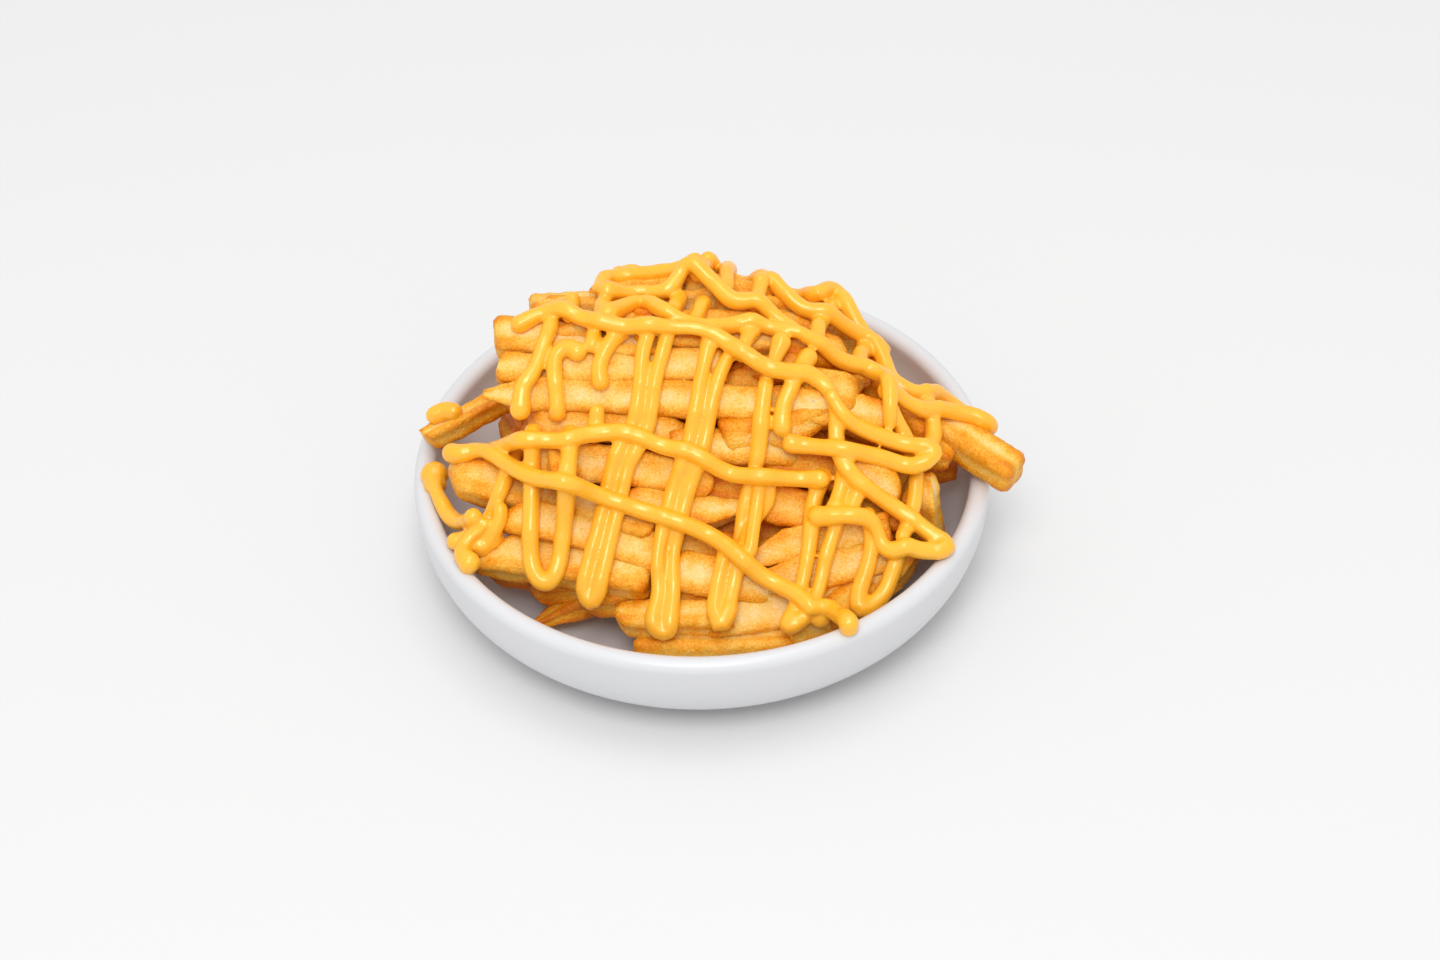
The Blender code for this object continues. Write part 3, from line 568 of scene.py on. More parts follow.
def dish_top(radius):
    """Height that anything over this radius has to clear."""
    if radius > SOLID_DISH[-1][0] + FACET_MARGIN:
        return 0.0
    top = FLOOR_HEIGHT
    for (r0, z0), (r1, z1) in zip(SOLID_DISH, SOLID_DISH[1:]):
        if r0 - FACET_MARGIN <= radius <= r1 + FACET_MARGIN:
            outer = min(max((radius + FACET_MARGIN - r0) / max(r1 - r0, FACET_MARGIN), 0), 1)
            inner = min(max((radius - FACET_MARGIN - r0) / max(r1 - r0, FACET_MARGIN), 0), 1)
            top = max(top, z0 + (z1 - z0) * outer, z0 + (z1 - z0) * inner)
    return top


def mesh_from(name, points, faces, marks=None):
    """A smooth mesh from points in millimetres, with any named marks on its points."""
    mesh = bpy.data.meshes.new(name)
    mesh.from_pydata([tuple(Vector(p) * MM) for p in points], [], faces)
    for mark, values in (marks or {}).items():
        layer = mesh.attributes.new(mark, "FLOAT", "POINT")
        layer.data.foreach_set("value", np.array(values, np.float32))
    mesh.shade_smooth()
    mesh.validate()
    return mesh


def add_piece(name, mesh, finish, slot, *nodes):
    """Puts a mesh in the scene on the object's one body, in place of the solids it stands for."""
    piece = bpy.data.objects.new(name, mesh)
    mesh.materials.clear()
    mesh.materials.append(finish)
    bpy.context.scene.collection.objects.link(piece)
    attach(piece, "root")
    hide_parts(*nodes)


class Fry:
    """One fry: its middle line, the frame across it, its sizes, and how it was cut and fried."""

    def __init__(self, start, end, width, thickness, normal, roll, draw):
        along = end - start
        self.length = along.length
        self.forward = along.normalized()
        side = self.forward.cross(normal).normalized()
        lift = side.cross(self.forward)
        turn = Quaternion(self.forward, math.radians(roll))
        self.side = turn @ side
        self.lift = turn @ lift
        self.start = start.copy()
        self.width = width
        self.thickness = thickness
        self.bow = draw.uniform(*FRY_BOW) * self.length
        self.taper = draw.uniform(-FRY_TAPER, FRY_TAPER)
        self.skew = [draw.uniform(-END_SKEW, END_SKEW) for _ in range(2)]
        self.browning = 0.0
        self.ends = None
        self.start += UP * self.rise_over_dish()

    def place(self, at, across, height, bow):
        """The point at this share of the length, so far across the fry and up from its middle."""
        centre = self.start + self.forward * self.length * at
        centre += self.lift * bow * 4 * at * (1 - at)
        slant = self.skew[0] * (1 - at) + self.skew[1] * at
        return centre + self.side * across + self.lift * height + self.forward * slant * across

    def solid_ring(self, at):
        """The corners of the plain solid fry's section, a rectangle with its corners cut off."""
        shrink = END_SHRINK if at in (0.0, 1.0) else 1 + self.taper * (at - 0.5)
        cut = CHAMFER * min(self.width, self.thickness)
        half_w, half_t = self.width / 2, self.thickness / 2
        corners = []
        for across, height in ((half_w, half_t - cut), (half_w - cut, half_t)):
            for flip_w, flip_t in ((1, 1), (-1, 1), (-1, -1), (1, -1)):
                corners.append(self.place(at, across * shrink * flip_w, height * shrink * flip_t,
                                          self.bow))
        return corners

    def rise_over_dish(self):
        """How far the fry has to rise to clear the dish all along."""
        need = 0.0
        rings = [self.solid_ring(at) for at in SOLID_RINGS]
        for lower, upper in zip(rings, rings[1:]):
            for start, end in zip(lower, upper):
                for i in range(EDGE_SAMPLES + 1):
                    place = start.lerp(end, i / EDGE_SAMPLES)
                    clear = dish_top(math.hypot(place.x, place.y)) + CLEARANCE
                    need = max(need, clear - place.z)
        return need


def fry_on_heap(name, values, draw):
    """A named fry whose upper side follows the heap's surface, or lies so deep below it."""
    x1, y1, x2, y2, sunk, width, thickness, roll = values
    ends = []
    for x, y in ((x1, y1), (x2, y2)):
        top = Vector((x, y, heap_height(x, y)))
        ends.append(top - heap_normal(x, y) * (thickness / 2 + sunk))
    normal = heap_normal((x1 + x2) / 2, (y1 + y2) / 2)
    fry = Fry(ends[0], ends[1], width, thickness, normal, roll, draw)
    fry.browning = BROWNING_AND_SHADE.get(name, 0.0)
    fry.ends = SHOWN_ENDS.get(name)
    return fry


def ruled_fry(x, y, sunk, draw, spread):
    """A fry of a drawn length and direction whose middle lies at one place on the heap."""
    length = draw.uniform(*FRY_LENGTH)
    side = draw.uniform(*FRY_SIDE)
    angle = math.radians(draw.uniform(-spread, spread))
    half = Vector((math.cos(angle), math.sin(angle), 0)) * length / 2
    ends = []
    for sign in (-1, 1):
        ex, ey = x + sign * half.x - RULED_CENTRE[0], y + sign * half.y - RULED_CENTRE[1]
        beyond = max(1.0, math.hypot(ex / RULED_REACH[0], ey / RULED_REACH[1]))
        ex, ey = RULED_CENTRE[0] + ex / beyond, RULED_CENTRE[1] + ey / beyond
        top = Vector((ex, ey, heap_height(ex, ey)))
        ends.append(top - heap_normal(ex, ey) * (side / 2 + sunk))
    normal = heap_normal(x, y)
    roll = draw.uniform(-RULED_ROLL, RULED_ROLL)
    return Fry(ends[0], ends[1], side, side, normal, roll, draw)


def ring_fry(height, scale, angle, draw):
    """A fry that lies along the heap's flank, level or nearly so."""
    around = math.radians(angle)
    along = around + math.pi / 2 + math.radians(draw.uniform(-RING_SPREAD, RING_SPREAD))
    middle = Vector((RING_CENTRE[0] + RING_REACH[0] * scale * math.cos(around),
                     RING_CENTRE[1] + RING_REACH[1] * scale * math.sin(around), height))
    half = Vector((math.cos(along), math.sin(along), 0)) * draw.uniform(*RING_LENGTH) / 2
    half.z = draw.uniform(-RING_TILT, RING_TILT)
    side = draw.uniform(*FRY_SIDE)
    roll = draw.uniform(-RULED_ROLL, RULED_ROLL)
    return Fry(middle - half, middle + half, side, side, UP, roll, draw)


def laid_fries():
    """The fries seen from the front, and those of the back, the flanks and the second layer."""
    draw = random.Random(SEED)
    front, back = [], []
    for name, values in FRIES_ON_HEAP.items():
        front.append(fry_on_heap(name, values, draw))
    for name, (start, end, width, thickness, roll) in FRIES_BY_ENDS.items():
        fry = Fry(Vector(start), Vector(end), width, thickness, UP, roll, draw)
        fry.browning = BROWNING_AND_SHADE.get(name, 0.0)
        fry.ends = SHOWN_ENDS.get(name)
        front.append(fry)
    for y, count in BACK_ROWS:
        half = BACK_HALF_WIDTH - (y - BACK_ROWS[0][0]) * BACK_NARROWING
        for i in range(count):
            x = -half + 2 * half * (i + 0.5) / count + draw.uniform(-BACK_JITTER[0], BACK_JITTER[0])
            shift = draw.uniform(-BACK_JITTER[1], BACK_JITTER[1])
            back.append(ruled_fry(x, y + shift, BACK_DEPTH, draw, BACK_SPREAD))
    for height, scale, first, last, count in RINGS:
        for i in range(count):
            angle = first + (last - first) * i / (count - 1)
            back.append(ring_fry(height, scale, angle, draw))
    for y in LAYER_ROWS:
        x = LAYER_CENTRE + draw.uniform(-LAYER_JITTER, LAYER_JITTER)
        back.append(ruled_fry(x, y, LAYER_DEPTH, draw, LAYER_SPREAD))
    for name, values in CREST_FRIES.items():
        front.append(fry_on_heap(name, values, draw))
    tint = random.Random(SEED + 2)
    for fry in back:
        fry.browning = tint.uniform(*BACK_BROWNING)
    return front, back


def shade_depth_in_heap(spot):
    """How deep a place lies between the fries, from 0 on the heap's outer form to 1 well inside, for
    the painted shade that darkens the crust there.
    """
    below = (heap_height(spot.x, spot.y) - spot.z) * heap_normal(spot.x, spot.y).z
    return min(max((below - SHADE_DEPTH_START) / SHADE_DEPTH_SPAN, 0.0), 1.0)


def section(width, thickness, rounding):
    """Points round a fry's section, each with its outward way and how near it is to an edge."""
    radius = rounding * min(width, thickness)
    half_w, half_t = width / 2 - radius, thickness / 2 - radius
    points = []
    corners = ((half_w, half_t, 0), (-half_w, half_t, 90), (-half_w, -half_t, 180),
               (half_w, -half_t, 270))
    for k, (cx, cy, first) in enumerate(corners):
        for i in range(CORNER_POINTS):
            angle = math.radians(first + 90 * i / (CORNER_POINTS - 1))
            way = Vector((math.cos(angle), math.sin(angle)))
            points.append((Vector((cx, cy)) + way * radius, way, 1.0))
        nx, ny, _ = corners[(k + 1) % 4]
        way = Vector((math.cos(math.radians(first + 90)), math.sin(math.radians(first + 90))))
        start = Vector((cx, cy)) + way * radius
        end = Vector((nx, ny)) + way * radius
        span = (end - start).length
        for i in range(1, SIDE_POINTS + 1):
            share = i / (SIDE_POINTS + 1)
            off = span * min(share, 1 - share)
            points.append((start.lerp(end, share), way, math.exp(-(off / EDGE_FADE) ** 2)))
    return points


def fry_rings(fry, gap, ends):
    """Each ring of a fry's skin: its share of the length, its size, how far it lies inside an end
    face, and how near an end it is."""
    steps = round(fry.length / gap)
    rings = []
    for i in range(steps + 1):
        at = i / steps
        near = min(at, 1 - at) * fry.length
        depth, scale, power = ends[0 if at < 0.5 else 1]
        grown = 1.0
        if near < depth:
            grown = 1 - (1 - scale) * (1 - near / depth) ** power
        rings.append((at, grown, 0.0, near))
    caps = []
    for at, (_, scale, _) in zip((0.0, 1.0), ends):
        caps.append([(at, scale * inner, 1 - inner, 0.0) for inner in CAP_RINGS])
    return caps[0][::-1] + rings + caps[1]


def add_fry(fry, gap, number, points, faces, marks):
    """Adds one fry's skin: crisp uneven edges, shallow hollows in its faces, ragged cut ends."""
    own = random.Random(SEED * 1000 + number)
    width = fry.width * own.uniform(*SIZE_SPREAD)
    thickness = fry.thickness * own.uniform(*SIZE_SPREAD)
    shape = section(width, thickness, own.uniform(*CORNER_RADIUS))
    count = len(shape)
    drawn = [own.choice(DRAWN_ENDS) for _ in range(2)]
    ends = [END_STYLES[style] for style in fry.ends or drawn]
    leans = [own.uniform(0, 2 * math.pi) for _ in range(2)]
    hollow = [own.uniform(0.0, HOLLOW) for _ in range(4)]
    tints = [own.uniform(-FACE_TINT, FACE_TINT) for _ in range(4)]
    twist = math.radians(own.uniform(-TWIST, TWIST))
    roll = math.radians(own.uniform(-OWN_ROLL, OWN_ROLL))
    wedge = own.uniform(-WEDGE, WEDGE)
    swing = own.uniform(-SWING, SWING) * fry.length
    offset = own.uniform(0, 50)
    browning = fry.browning + own.uniform(-OWN_BROWNING, OWN_BROWNING)
    base = len(points)
    rings = fry_rings(fry, gap, ends)
    for at, grown, inside, near in rings:
        along = Vector((at * fry.length, 0, 0))
        size = grown * (1 + fry.taper * (at - 0.5)) * (1 + lumps(along, SIZE_LUMPS, offset))
        turn = roll + twist * (at - 0.5)
        cos, sin = math.cos(turn), math.sin(turn)
        outward = -1 if at < 0.5 else 1
        angle = leans[0 if at < 0.5 else 1]
        lean = Vector((math.cos(angle), math.sin(angle))) * END_LEAN * fry.thickness / 2
        for k, (place, way, edge) in enumerate(shape):
            face = ((k - CORNER_POINTS) // (CORNER_POINTS + SIDE_POINTS)) % 4
            dent = hollow[face] * (1 - edge) * (1 - inside)
            flat = (place - way * dent) * size
            flat.x *= 1 + wedge * flat.y / fry.thickness
            flat += lean * (1 - min(grown / (1 - inside), 1.0))
            across = flat.x * cos - flat.y * sin
            height = flat.x * sin + flat.y * cos
            spot = fry.place(at, across, height, fry.bow * BOW_SHOWN)
            spot += fry.side * swing * 4 * at * (1 - at)
            spot += fry.forward * outward * inside * CAP_BULGE
            push = lumps(spot, SKIN_LUMPS, offset) + lumps(spot, SKIN_GRAIN, offset)
            push += lumps(spot, EDGE_CRUMBLE, offset + 9, edge)
            away = fry.side * way.x + fry.lift * way.y
            if near == 0:
                ragged = lumps(spot, END_RAGS, offset + 5) + lumps(spot, FINE_END_RAGS, offset + 7)
                spot += fry.forward * outward * ragged
                push *= 1 - inside
            points.append(spot + away * push)
            tone = browning + tints[face] * (1 - edge) + lumps(spot, BLOTCHES, offset + 3)
            cut = math.exp(-(near / CUT_FADE) ** CUT_POWER)
            # the last mark, depth in the heap, is painted shade between the fries
            add_marks(marks, edge * (1 - inside), cut, tone, shade_depth_in_heap(spot))
    add_bands(faces, base, len(rings), count)
    for ring, flip in ((0, True), (len(rings) - 1, False)):
        first = base + ring * count
        corners = tuple(range(first, first + count))
        middle = len(points)
        centre = Vector((0, 0, 0))
        for c in corners:
            centre += points[c] / count
        points.append(centre)
        add_marks(marks, 0.0, 1.0, browning, shade_depth_in_heap(centre))
        for k in range(count):
            a, b = corners[k], corners[(k + 1) % count]
            faces.append((b, a, middle) if flip else (a, b, middle))


def fries_mesh(name, fries, gap, first_number):
    """The skins of several fries in one mesh, each with draws of its own."""
    points, faces, marks = [], [], {mark: [] for mark in MARKS}
    for i, fry in enumerate(fries):
        add_fry(fry, gap, first_number + i, points, faces, marks)
    return mesh_from(name, points, faces, marks)


def core_mesh():
    """The heap's inside: an oval that follows the heap's form a little way down, painted dark all over
    as painted shade between the fries.
    """
    foot = FLOOR_HEIGHT + CLEARANCE
    levels = []
    for i in range(CORE_LEVELS):
        share = i / (CORE_LEVELS - 1)
        if share < CORE_FOOT_SHARE:
            up = share / CORE_FOOT_SHARE
            levels.append((CORE_FOOT + (1 - CORE_FOOT) * up, foot + (CORE_WAIST - foot) * up))
        else:
            up = (share - CORE_FOOT_SHARE) / (1 - CORE_FOOT_SHARE)
            levels.append((max(math.cos(math.pi / 2 * up), CORE_TIP), None))
    points, faces, marks = [], [], {mark: [] for mark in MARKS}
    far, size = CORE_LUMPS
    for scale, height in levels:
        for cos, sin in circle(CORE_SIDES):
            x = CORE_CENTRE[0] + CORE_REACH[0] * scale * cos
            y = CORE_CENTRE[1] + CORE_REACH[1] * scale * sin
            z = height
            if z is None:
                z = max(heap_height(x, y) - CORE_DEPTH, CORE_WAIST + 1)
            spot = Vector((x, y, z))
            spot += Vector((cos, sin, CORE_LUMP_RISE)) * wave(spot, size) * far
            points.append(spot)
    add_bands(faces, 0, CORE_LEVELS, CORE_SIDES)
    faces.append(tuple(range(CORE_SIDES))[::-1])
    faces.append(tuple(range(len(points) - CORE_SIDES, len(points))))
    add_marks(marks, *CORE_SHADE_MARKS, count=len(points))
    return mesh_from("core", points, faces, marks)


def crumbs_mesh(fries_skin):
    """Loose crumbs of crust on the fries that show, most of them along edges and cut ends."""
    draw = random.Random(SEED + 5)
    areas = np.zeros(len(fries_skin.polygons), np.float32)
    fries_skin.polygons.foreach_get("area", areas)
    reach = np.cumsum(areas)
    edges = np.zeros(len(fries_skin.vertices), np.float32)
    fries_skin.attributes["edge"].data.foreach_get("value", edges)
    points, faces, marks = [], [], {mark: [] for mark in MARKS}
    ball = bmesh.new()
    bmesh.ops.create_icosphere(ball, subdivisions=1, radius=1.0)
    corners = [v.co.copy() for v in ball.verts]
    sides = [[v.index for v in f.verts] for f in ball.faces]
    ball.free()
    while len(points) < CRUMB_COUNT * len(corners):
        place = draw.random() * reach[-1] * CRUMB_RANGE
        face = fries_skin.polygons[int(np.searchsorted(reach, place))]
        index = draw.choice(tuple(face.vertices))
        if draw.random() > CRUMB_OFF_EDGES + (1 - CRUMB_OFF_EDGES) * edges[index]:
            continue
        vertex = fries_skin.vertices[index]
        size = draw.uniform(*CRUMB_SIZE)
        stretch = Vector([draw.uniform(*CRUMB_STRETCH) for _ in range(3)])
        browning = draw.choice(CRUMB_BROWNING)
        foot = vertex.co / MM + vertex.normal * size * CRUMB_LIFT
        base = len(points)
        for corner in corners:
            bumpy = size * (1 + CRUMB_BUMPS * noise.noise(corner * 2 + vertex.co * CRUMB_VARIETY))
            points.append(foot + corner * stretch * bumpy)
        faces.extend([base + k for k in side] for side in sides)
        # crumbs deep in the heap get the same painted shade as the fries there
        add_marks(marks, 0.0, 0.0, browning, shade_depth_in_heap(vertex.co / MM), count=len(corners))
    return mesh_from("crumbs", points, faces, marks)


def turned_mesh(name, profile, segments):
    """A closed turned body from a half section that starts and ends off the axis."""
    points, faces = [], []
    for radius, height in profile:
        for cos, sin in circle(segments):
            points.append((radius * cos, radius * sin, height))
    add_bands(faces, 0, len(profile), segments)
    points.append((0, 0, profile[0][1]))
    points.append((0, 0, profile[-1][1]))
    last = (len(profile) - 1) * segments
    for i in range(segments):
        j = (i + 1) % segments
        faces.append((j, i, len(points) - 2))
        faces.append((last + i, last + j, len(points) - 1))
    return mesh_from(name, points, faces)


def smooth_path(turns, step):
    """Points along a curve through the turning points, spaced by about one step."""
    ends = [turns[0]] + list(turns) + [turns[-1]]
    path = []
    for a, b, c, d in zip(ends, ends[1:], ends[2:], ends[3:]):
        a, b, c, d = (Vector(p) for p in (a, b, c, d))
        count = max(2, round((c - b).length / step))
        for i in range(count):
            t = i / count
            path.append(0.5 * (2 * b + (c - a) * t + (2 * a - 5 * b + 4 * c - d) * t * t
                               + (3 * b - a - 3 * c + d) * t ** 3))
    path.append(Vector(turns[-1]))
    return path


def opened(path):
    """The path of a narrow stroke with its two arms moved apart, so that both show side by side."""
    for _ in range(ARM_PASSES):
        for i in range(len(path)):
            for j in range(i + ARM_SKIP, len(path)):
                away = path[j] - path[i]
                distance = away.length
                if 0 < distance < ARM_GAP:
                    push = away * (ARM_PUSH * (ARM_GAP - distance) / distance)
                    path[i] -= push
                    path[j] += push
    return path


def resting_height(trees, foot, normal, radius):
    """How far off the heap's form a ball rests when it is pressed onto what lies there."""
    side = normal.orthogonal().normalized()
    lift = normal.cross(side)
    best = -DEEPEST_DRAPE
    for ring, count in PRESS_RINGS:
        away = ring * radius
        for cos, sin in circle(count):
            start = foot + (side * cos + lift * sin) * away
            start += normal * DRAPE_START
            for tree in trees:
                distance = tree.ray_cast(start * MM, -normal, (DRAPE_START + DEEPEST_DRAPE) * MM)[3]
                if distance is not None:
                    height = DRAPE_START - distance / MM
                    best = max(best, height + math.sqrt(radius ** 2 - away ** 2))
    return best


def under_strand(place):
    """The point of the heap's form, or of the rim's level, under a place, and the way off it."""
    height = heap_height(place.x, place.y)
    slope = heap_normal(place.x, place.y)
    outward = min(max((place.length - DRAPE_INSIDE) / (DRAPE_RIM - DRAPE_INSIDE), 0), 1)
    height += (max(height, DISH_HEIGHT) - height) * outward
    normal = Vector((0, slope.y, slope.z)).lerp(UP, outward).normalized()
    return Vector((place.x, place.y, height)), normal


def draped(turns, fries_trees, strand_trees, dish_tree, radius):
    """A strand's centre line: it lies on the fries, half melts into the strands that it crosses,
    and hangs in a shallow bow between."""
    feet, normals = [], []
    for place in opened(smooth_path(turns, STRAND_STEP)):
        foot, normal = under_strand(place)
        feet.append(foot)
        normals.append(normal)
    rest = []
    for foot, normal in zip(feet, normals):
        on_fries = resting_height(fries_trees, foot, normal, radius) - STRAND_SINK * radius
        on_sauce = resting_height(strand_trees, foot, normal, radius) - CROSSING_SINK * radius
        on_dish = resting_height([dish_tree], foot, normal, radius) + STRAND_CLEARANCE
        rest.append(max(on_fries, on_sauce, on_dish))
    line = [foot + normal * height for foot, normal, height in zip(feet, normals, rest)]
    for _ in range(SAG_PASSES):
        for i in range(1, len(line) - 1):
            middle = (line[i - 1] + line[i + 1]) / 2
            height = max(rest[i], (middle - feet[i]).dot(normals[i]) - SAG)
            line[i] = feet[i] + normals[i] * height
    return line


def strand_sizes(line, number):
    """Radius at each point: uneven, a little thicker in the turns and with a bead at each end."""
    own = random.Random(SEED * 500 + number)
    offset = own.uniform(0, 90)
    beads = [own.uniform(*BEAD) for _ in range(2)]
    necks = [own.uniform(*NECK) for _ in range(2)]
    runs = [0.0]
    for a, b in zip(line, line[1:]):
        runs.append(runs[-1] + (b - a).length)
    sizes = []
    last = len(line) - 1
    for i, run in enumerate(runs):
        along = Vector((run, 0, 0))
        size = 1 + lumps(along, STRAND_LUMPS, offset)
        size += lumps(along, STRAND_RIPPLES, offset + 3)
        for bead, neck, off in zip(beads, necks, (run, runs[-1] - run)):
            size += bead * math.exp(-(off / BEAD_REACH) ** 2)
            size -= neck * math.exp(-((off - NECK_PLACE) / NECK_REACH) ** 2)
        if TURN_REACH <= i <= last - TURN_REACH:
            behind, ahead = line[i] - line[i - TURN_REACH], line[i + TURN_REACH] - line[i]
            size += TURN_THICKENING * min(behind.angle(ahead, 0.0) / FULL_TURN, 1.0)
        sizes.append(STRAND_RADIUS * size)
    return sizes


def heading(line, i):
    """The way that a line runs at its point of this number."""
    return (line[min(i + 1, len(line) - 1)] - line[max(i - 1, 0)]).normalized()


def slim_twins(strands):
    """Strands that run side by side are slimmer, so that the valley between them stays."""
    places, ways = [], []
    for line, _ in strands:
        for i, spot in enumerate(line):
            places.append(spot)
            ways.append(heading(line, i))
    tree = finder(places)
    index = 0
    for line, sizes in strands:
        for i, spot in enumerate(line):
            nearest = TWIN_REACH
            for _, other, distance in tree.find_range(spot, TWIN_REACH):
                apart = abs(other - index) * STRAND_STEP > TWIN_APART * TWIN_REACH
                if apart and abs(ways[other].dot(ways[index])) > TWIN_ALONG:
                    nearest = min(nearest, distance)
            if nearest < TWIN_JOIN:
                sizes[i] = min(sizes[i], max(THINNEST * STRAND_RADIUS, nearest * TWIN_SHARE))
            elif nearest < TWIN_REACH:
                sizes[i] = min(sizes[i], nearest / 2 - TWIN_GAP)
            index += 1
        for _ in range(TWIN_PASSES):
            sizes[1:-1] = [(a + b + c) / 3 for a, b, c in zip(sizes, sizes[1:], sizes[2:])]


def frames_along(line):
    """Each point of a line, with the way ahead and two ways across that turn smoothly with it."""
    frames = []
    lift = UP
    for i, centre in enumerate(line):
        forward = heading(line, i)
        side = forward.cross(lift).normalized()
        lift = side.cross(forward)
        frames.append((centre, forward, side, lift))
    return frames


def dome(frame, radius, sign):
    """The shrinking rings that close a strand, behind its first point or past its last."""
    centre, forward, side, lift = frame
    rings = []
    for angle in DOME_ANGLES:
        reach = math.radians(angle)
        past = centre + forward * radius * math.sin(reach) * sign
        rings.append((past, side, lift, radius * math.cos(reach)))
    return rings


def strand_tube(line, sizes, points, faces, swell=0.0):
    """Adds a round tube along a strand's line with domed ends."""
    base = len(points)
    frames = frames_along(line)
    rings = dome(frames[0], sizes[0] + swell, -1)[::-1]
    for (centre, _, side, lift), size in zip(frames, sizes):
        rings.append((centre, side, lift, size + swell))
    rings += dome(frames[-1], sizes[-1] + swell, 1)
    for centre, side, lift, radius in rings:
        for cos, sin in circle(STRAND_SIDES):
            points.append(centre + (side * cos + lift * sin) * radius)
    add_bands(faces, base, len(rings), STRAND_SIDES)
    faces.append(tuple(range(base, base + STRAND_SIDES))[::-1])
    faces.append(tuple(range(len(points) - STRAND_SIDES, len(points))))


def tree_from(points, faces):
    """Faces from points in millimetres, ready for rays to be cast at them in metres."""
    return BVHTree.FromPolygons([p * MM for p in points], faces)


def tree_of(mesh):
    """The faces of a mesh, ready for rays to be cast at them."""
    corners = [vertex.co / MM for vertex in mesh.vertices]
    return tree_from(corners, [tuple(face.vertices) for face in mesh.polygons])


def finder(places):
    """Finds which of these places are nearest to another."""
    tree = KDTree(len(places))
    for i, place in enumerate(places):
        tree.insert(place, i)
    tree.balance()
    return tree


def back_strokes(draw):
    """Strands down the back of the heap, a zigzag like the one at the front, and one across."""
    strokes = []
    for i in range(BACK_STROKES):
        x = BACK_STROKE_FIRST + BACK_STROKE_GAP * i
        top = BACK_STROKE_TOP - abs(x) * BACK_STROKE_DROOP[0]
        reach = BACK_STROKE_REACH + draw.uniform(*BACK_STROKE_JITTER) - abs(x) * BACK_STROKE_DROOP[1]
        depths = (BACK_STROKE_MIDDLE, reach, reach + 1, BACK_STROKE_MIDDLE, top + 1)
        loop = [(x + step, depth) for step, depth in zip(BACK_STROKE_STEPS, depths)]
        strokes.append(((x, top), *loop))
    across = []
    for i in range(BACK_ACROSS_TURNS):
        x = BACK_ACROSS_FIRST + BACK_ACROSS_GAP * i
        wavy = BACK_ACROSS_WAVE * (-1) ** i
        across.append((x, BACK_ACROSS_PLACE + wavy - BACK_ACROSS_CURVE * x ** 2))
    strokes.append(tuple(across))
    return strokes


def laid_strands(fries_trees, dish_tree):
    """The line and sizes of every strand, each laid over the fries and the strands before it."""
    draw = random.Random(SEED + 1)
    strand_trees = []
    strands = []
    for number, turns in enumerate(DOWN_STROKES + tuple(back_strokes(draw)) + ACROSS_STROKES):
        line = draped(turns, fries_trees, strand_trees, dish_tree, STRAND_RADIUS)
        sizes = strand_sizes(line, number)
        strands.append((line, sizes))
        points, faces = [], []
        strand_tube(line, sizes, points, faces)
        strand_trees.append(tree_from(points, faces))
    slim_twins(strands)
    for x, y, radius in DROPS:
        foot, normal = under_strand(Vector((x, y)))
        rest = [resting_height(trees, foot, normal, radius) for trees in (fries_trees, [dish_tree])]
        centre = foot + normal * (max(rest) - DROP_SINK * radius)
        strands.append(([centre, centre + Vector((DROP_LENGTH, 0, 0))], [radius, radius]))
    return strands


def soften(rough, name):
    """Evens out the skin of the sauce a little."""
    smooth = rough.modifiers.new(name, "SMOOTH")
    smooth.factor = SOFTENING
    smooth.iterations = SOFTENING_PASSES


def melted(strands):
    """All strands as one skin: grown a little, joined, and drawn in again, which fills corners."""
    points, faces = [], []
    for line, sizes in strands:
        strand_tube(line, sizes, points, faces, SWELL)
    rough = bpy.data.objects.new("strands", mesh_from("strands", points, faces))
    bpy.context.scene.collection.objects.link(rough)
    join = rough.modifiers.new("join", "REMESH")
    join.mode = "VOXEL"
    join.voxel_size = MELT_VOXEL * MM
    soften(rough, "soften")
    draw_in = rough.modifiers.new("draw in", "DISPLACE")
    draw_in.mid_level = 0.0
    draw_in.strength = -SWELL * MM
    soften(rough, "settle")
    thin = rough.modifiers.new("thin", "DECIMATE")
    thin.ratio = SAUCE_SHARE
    bpy.context.view_layer.update()
    evaluated = rough.evaluated_get(bpy.context.evaluated_depsgraph_get())
    skin = bpy.data.meshes.new_from_object(evaluated)
    bpy.data.objects.remove(rough)
    skin.shade_smooth()
    mark_ribs(skin, strands)
    return skin


def mark_ribs(skin, strands):
    """Marks on the sauce's skin: fine ribs that run along each strand, as its nozzle leaves."""
    frames = []
    for number, (line, _) in enumerate(strands):
        for i, (centre, _, side, lift) in enumerate(frames_along(line)):
            frames.append((centre, side, lift, number + i * STRAND_STEP / RIB_DRIFT))
    tree = finder([centre for centre, *_ in frames])
    ribs = []
    for vertex in skin.vertices:
        place = vertex.co / MM
        centre, side, lift, phase = frames[tree.find(place)[1]]
        away = place - centre
        angle = math.atan2(away.dot(lift), away.dot(side))
        ribs.append(0.5 + 0.5 * math.cos(RIB_COUNT * angle + phase))
    layer = skin.attributes.new("rib", "FLOAT", "POINT")
    layer.data.foreach_set("value", np.array(ribs, np.float32))


def new_group(name, inputs, outputs):
    """An empty shader node group with these named number inputs and named outputs."""
    group = bpy.data.node_groups.new(name, "ShaderNodeTree")
    for label, value in inputs:
        socket = group.interface.new_socket(label, in_out="INPUT", socket_type="NodeSocketFloat")
        socket.default_value = value
    for label, kind in outputs:
        group.interface.new_socket(label, in_out="OUTPUT", socket_type=kind)
    entry = group.nodes.new("NodeGroupInput")
    leave = group.nodes.new("NodeGroupOutput")
    return group, entry, leave


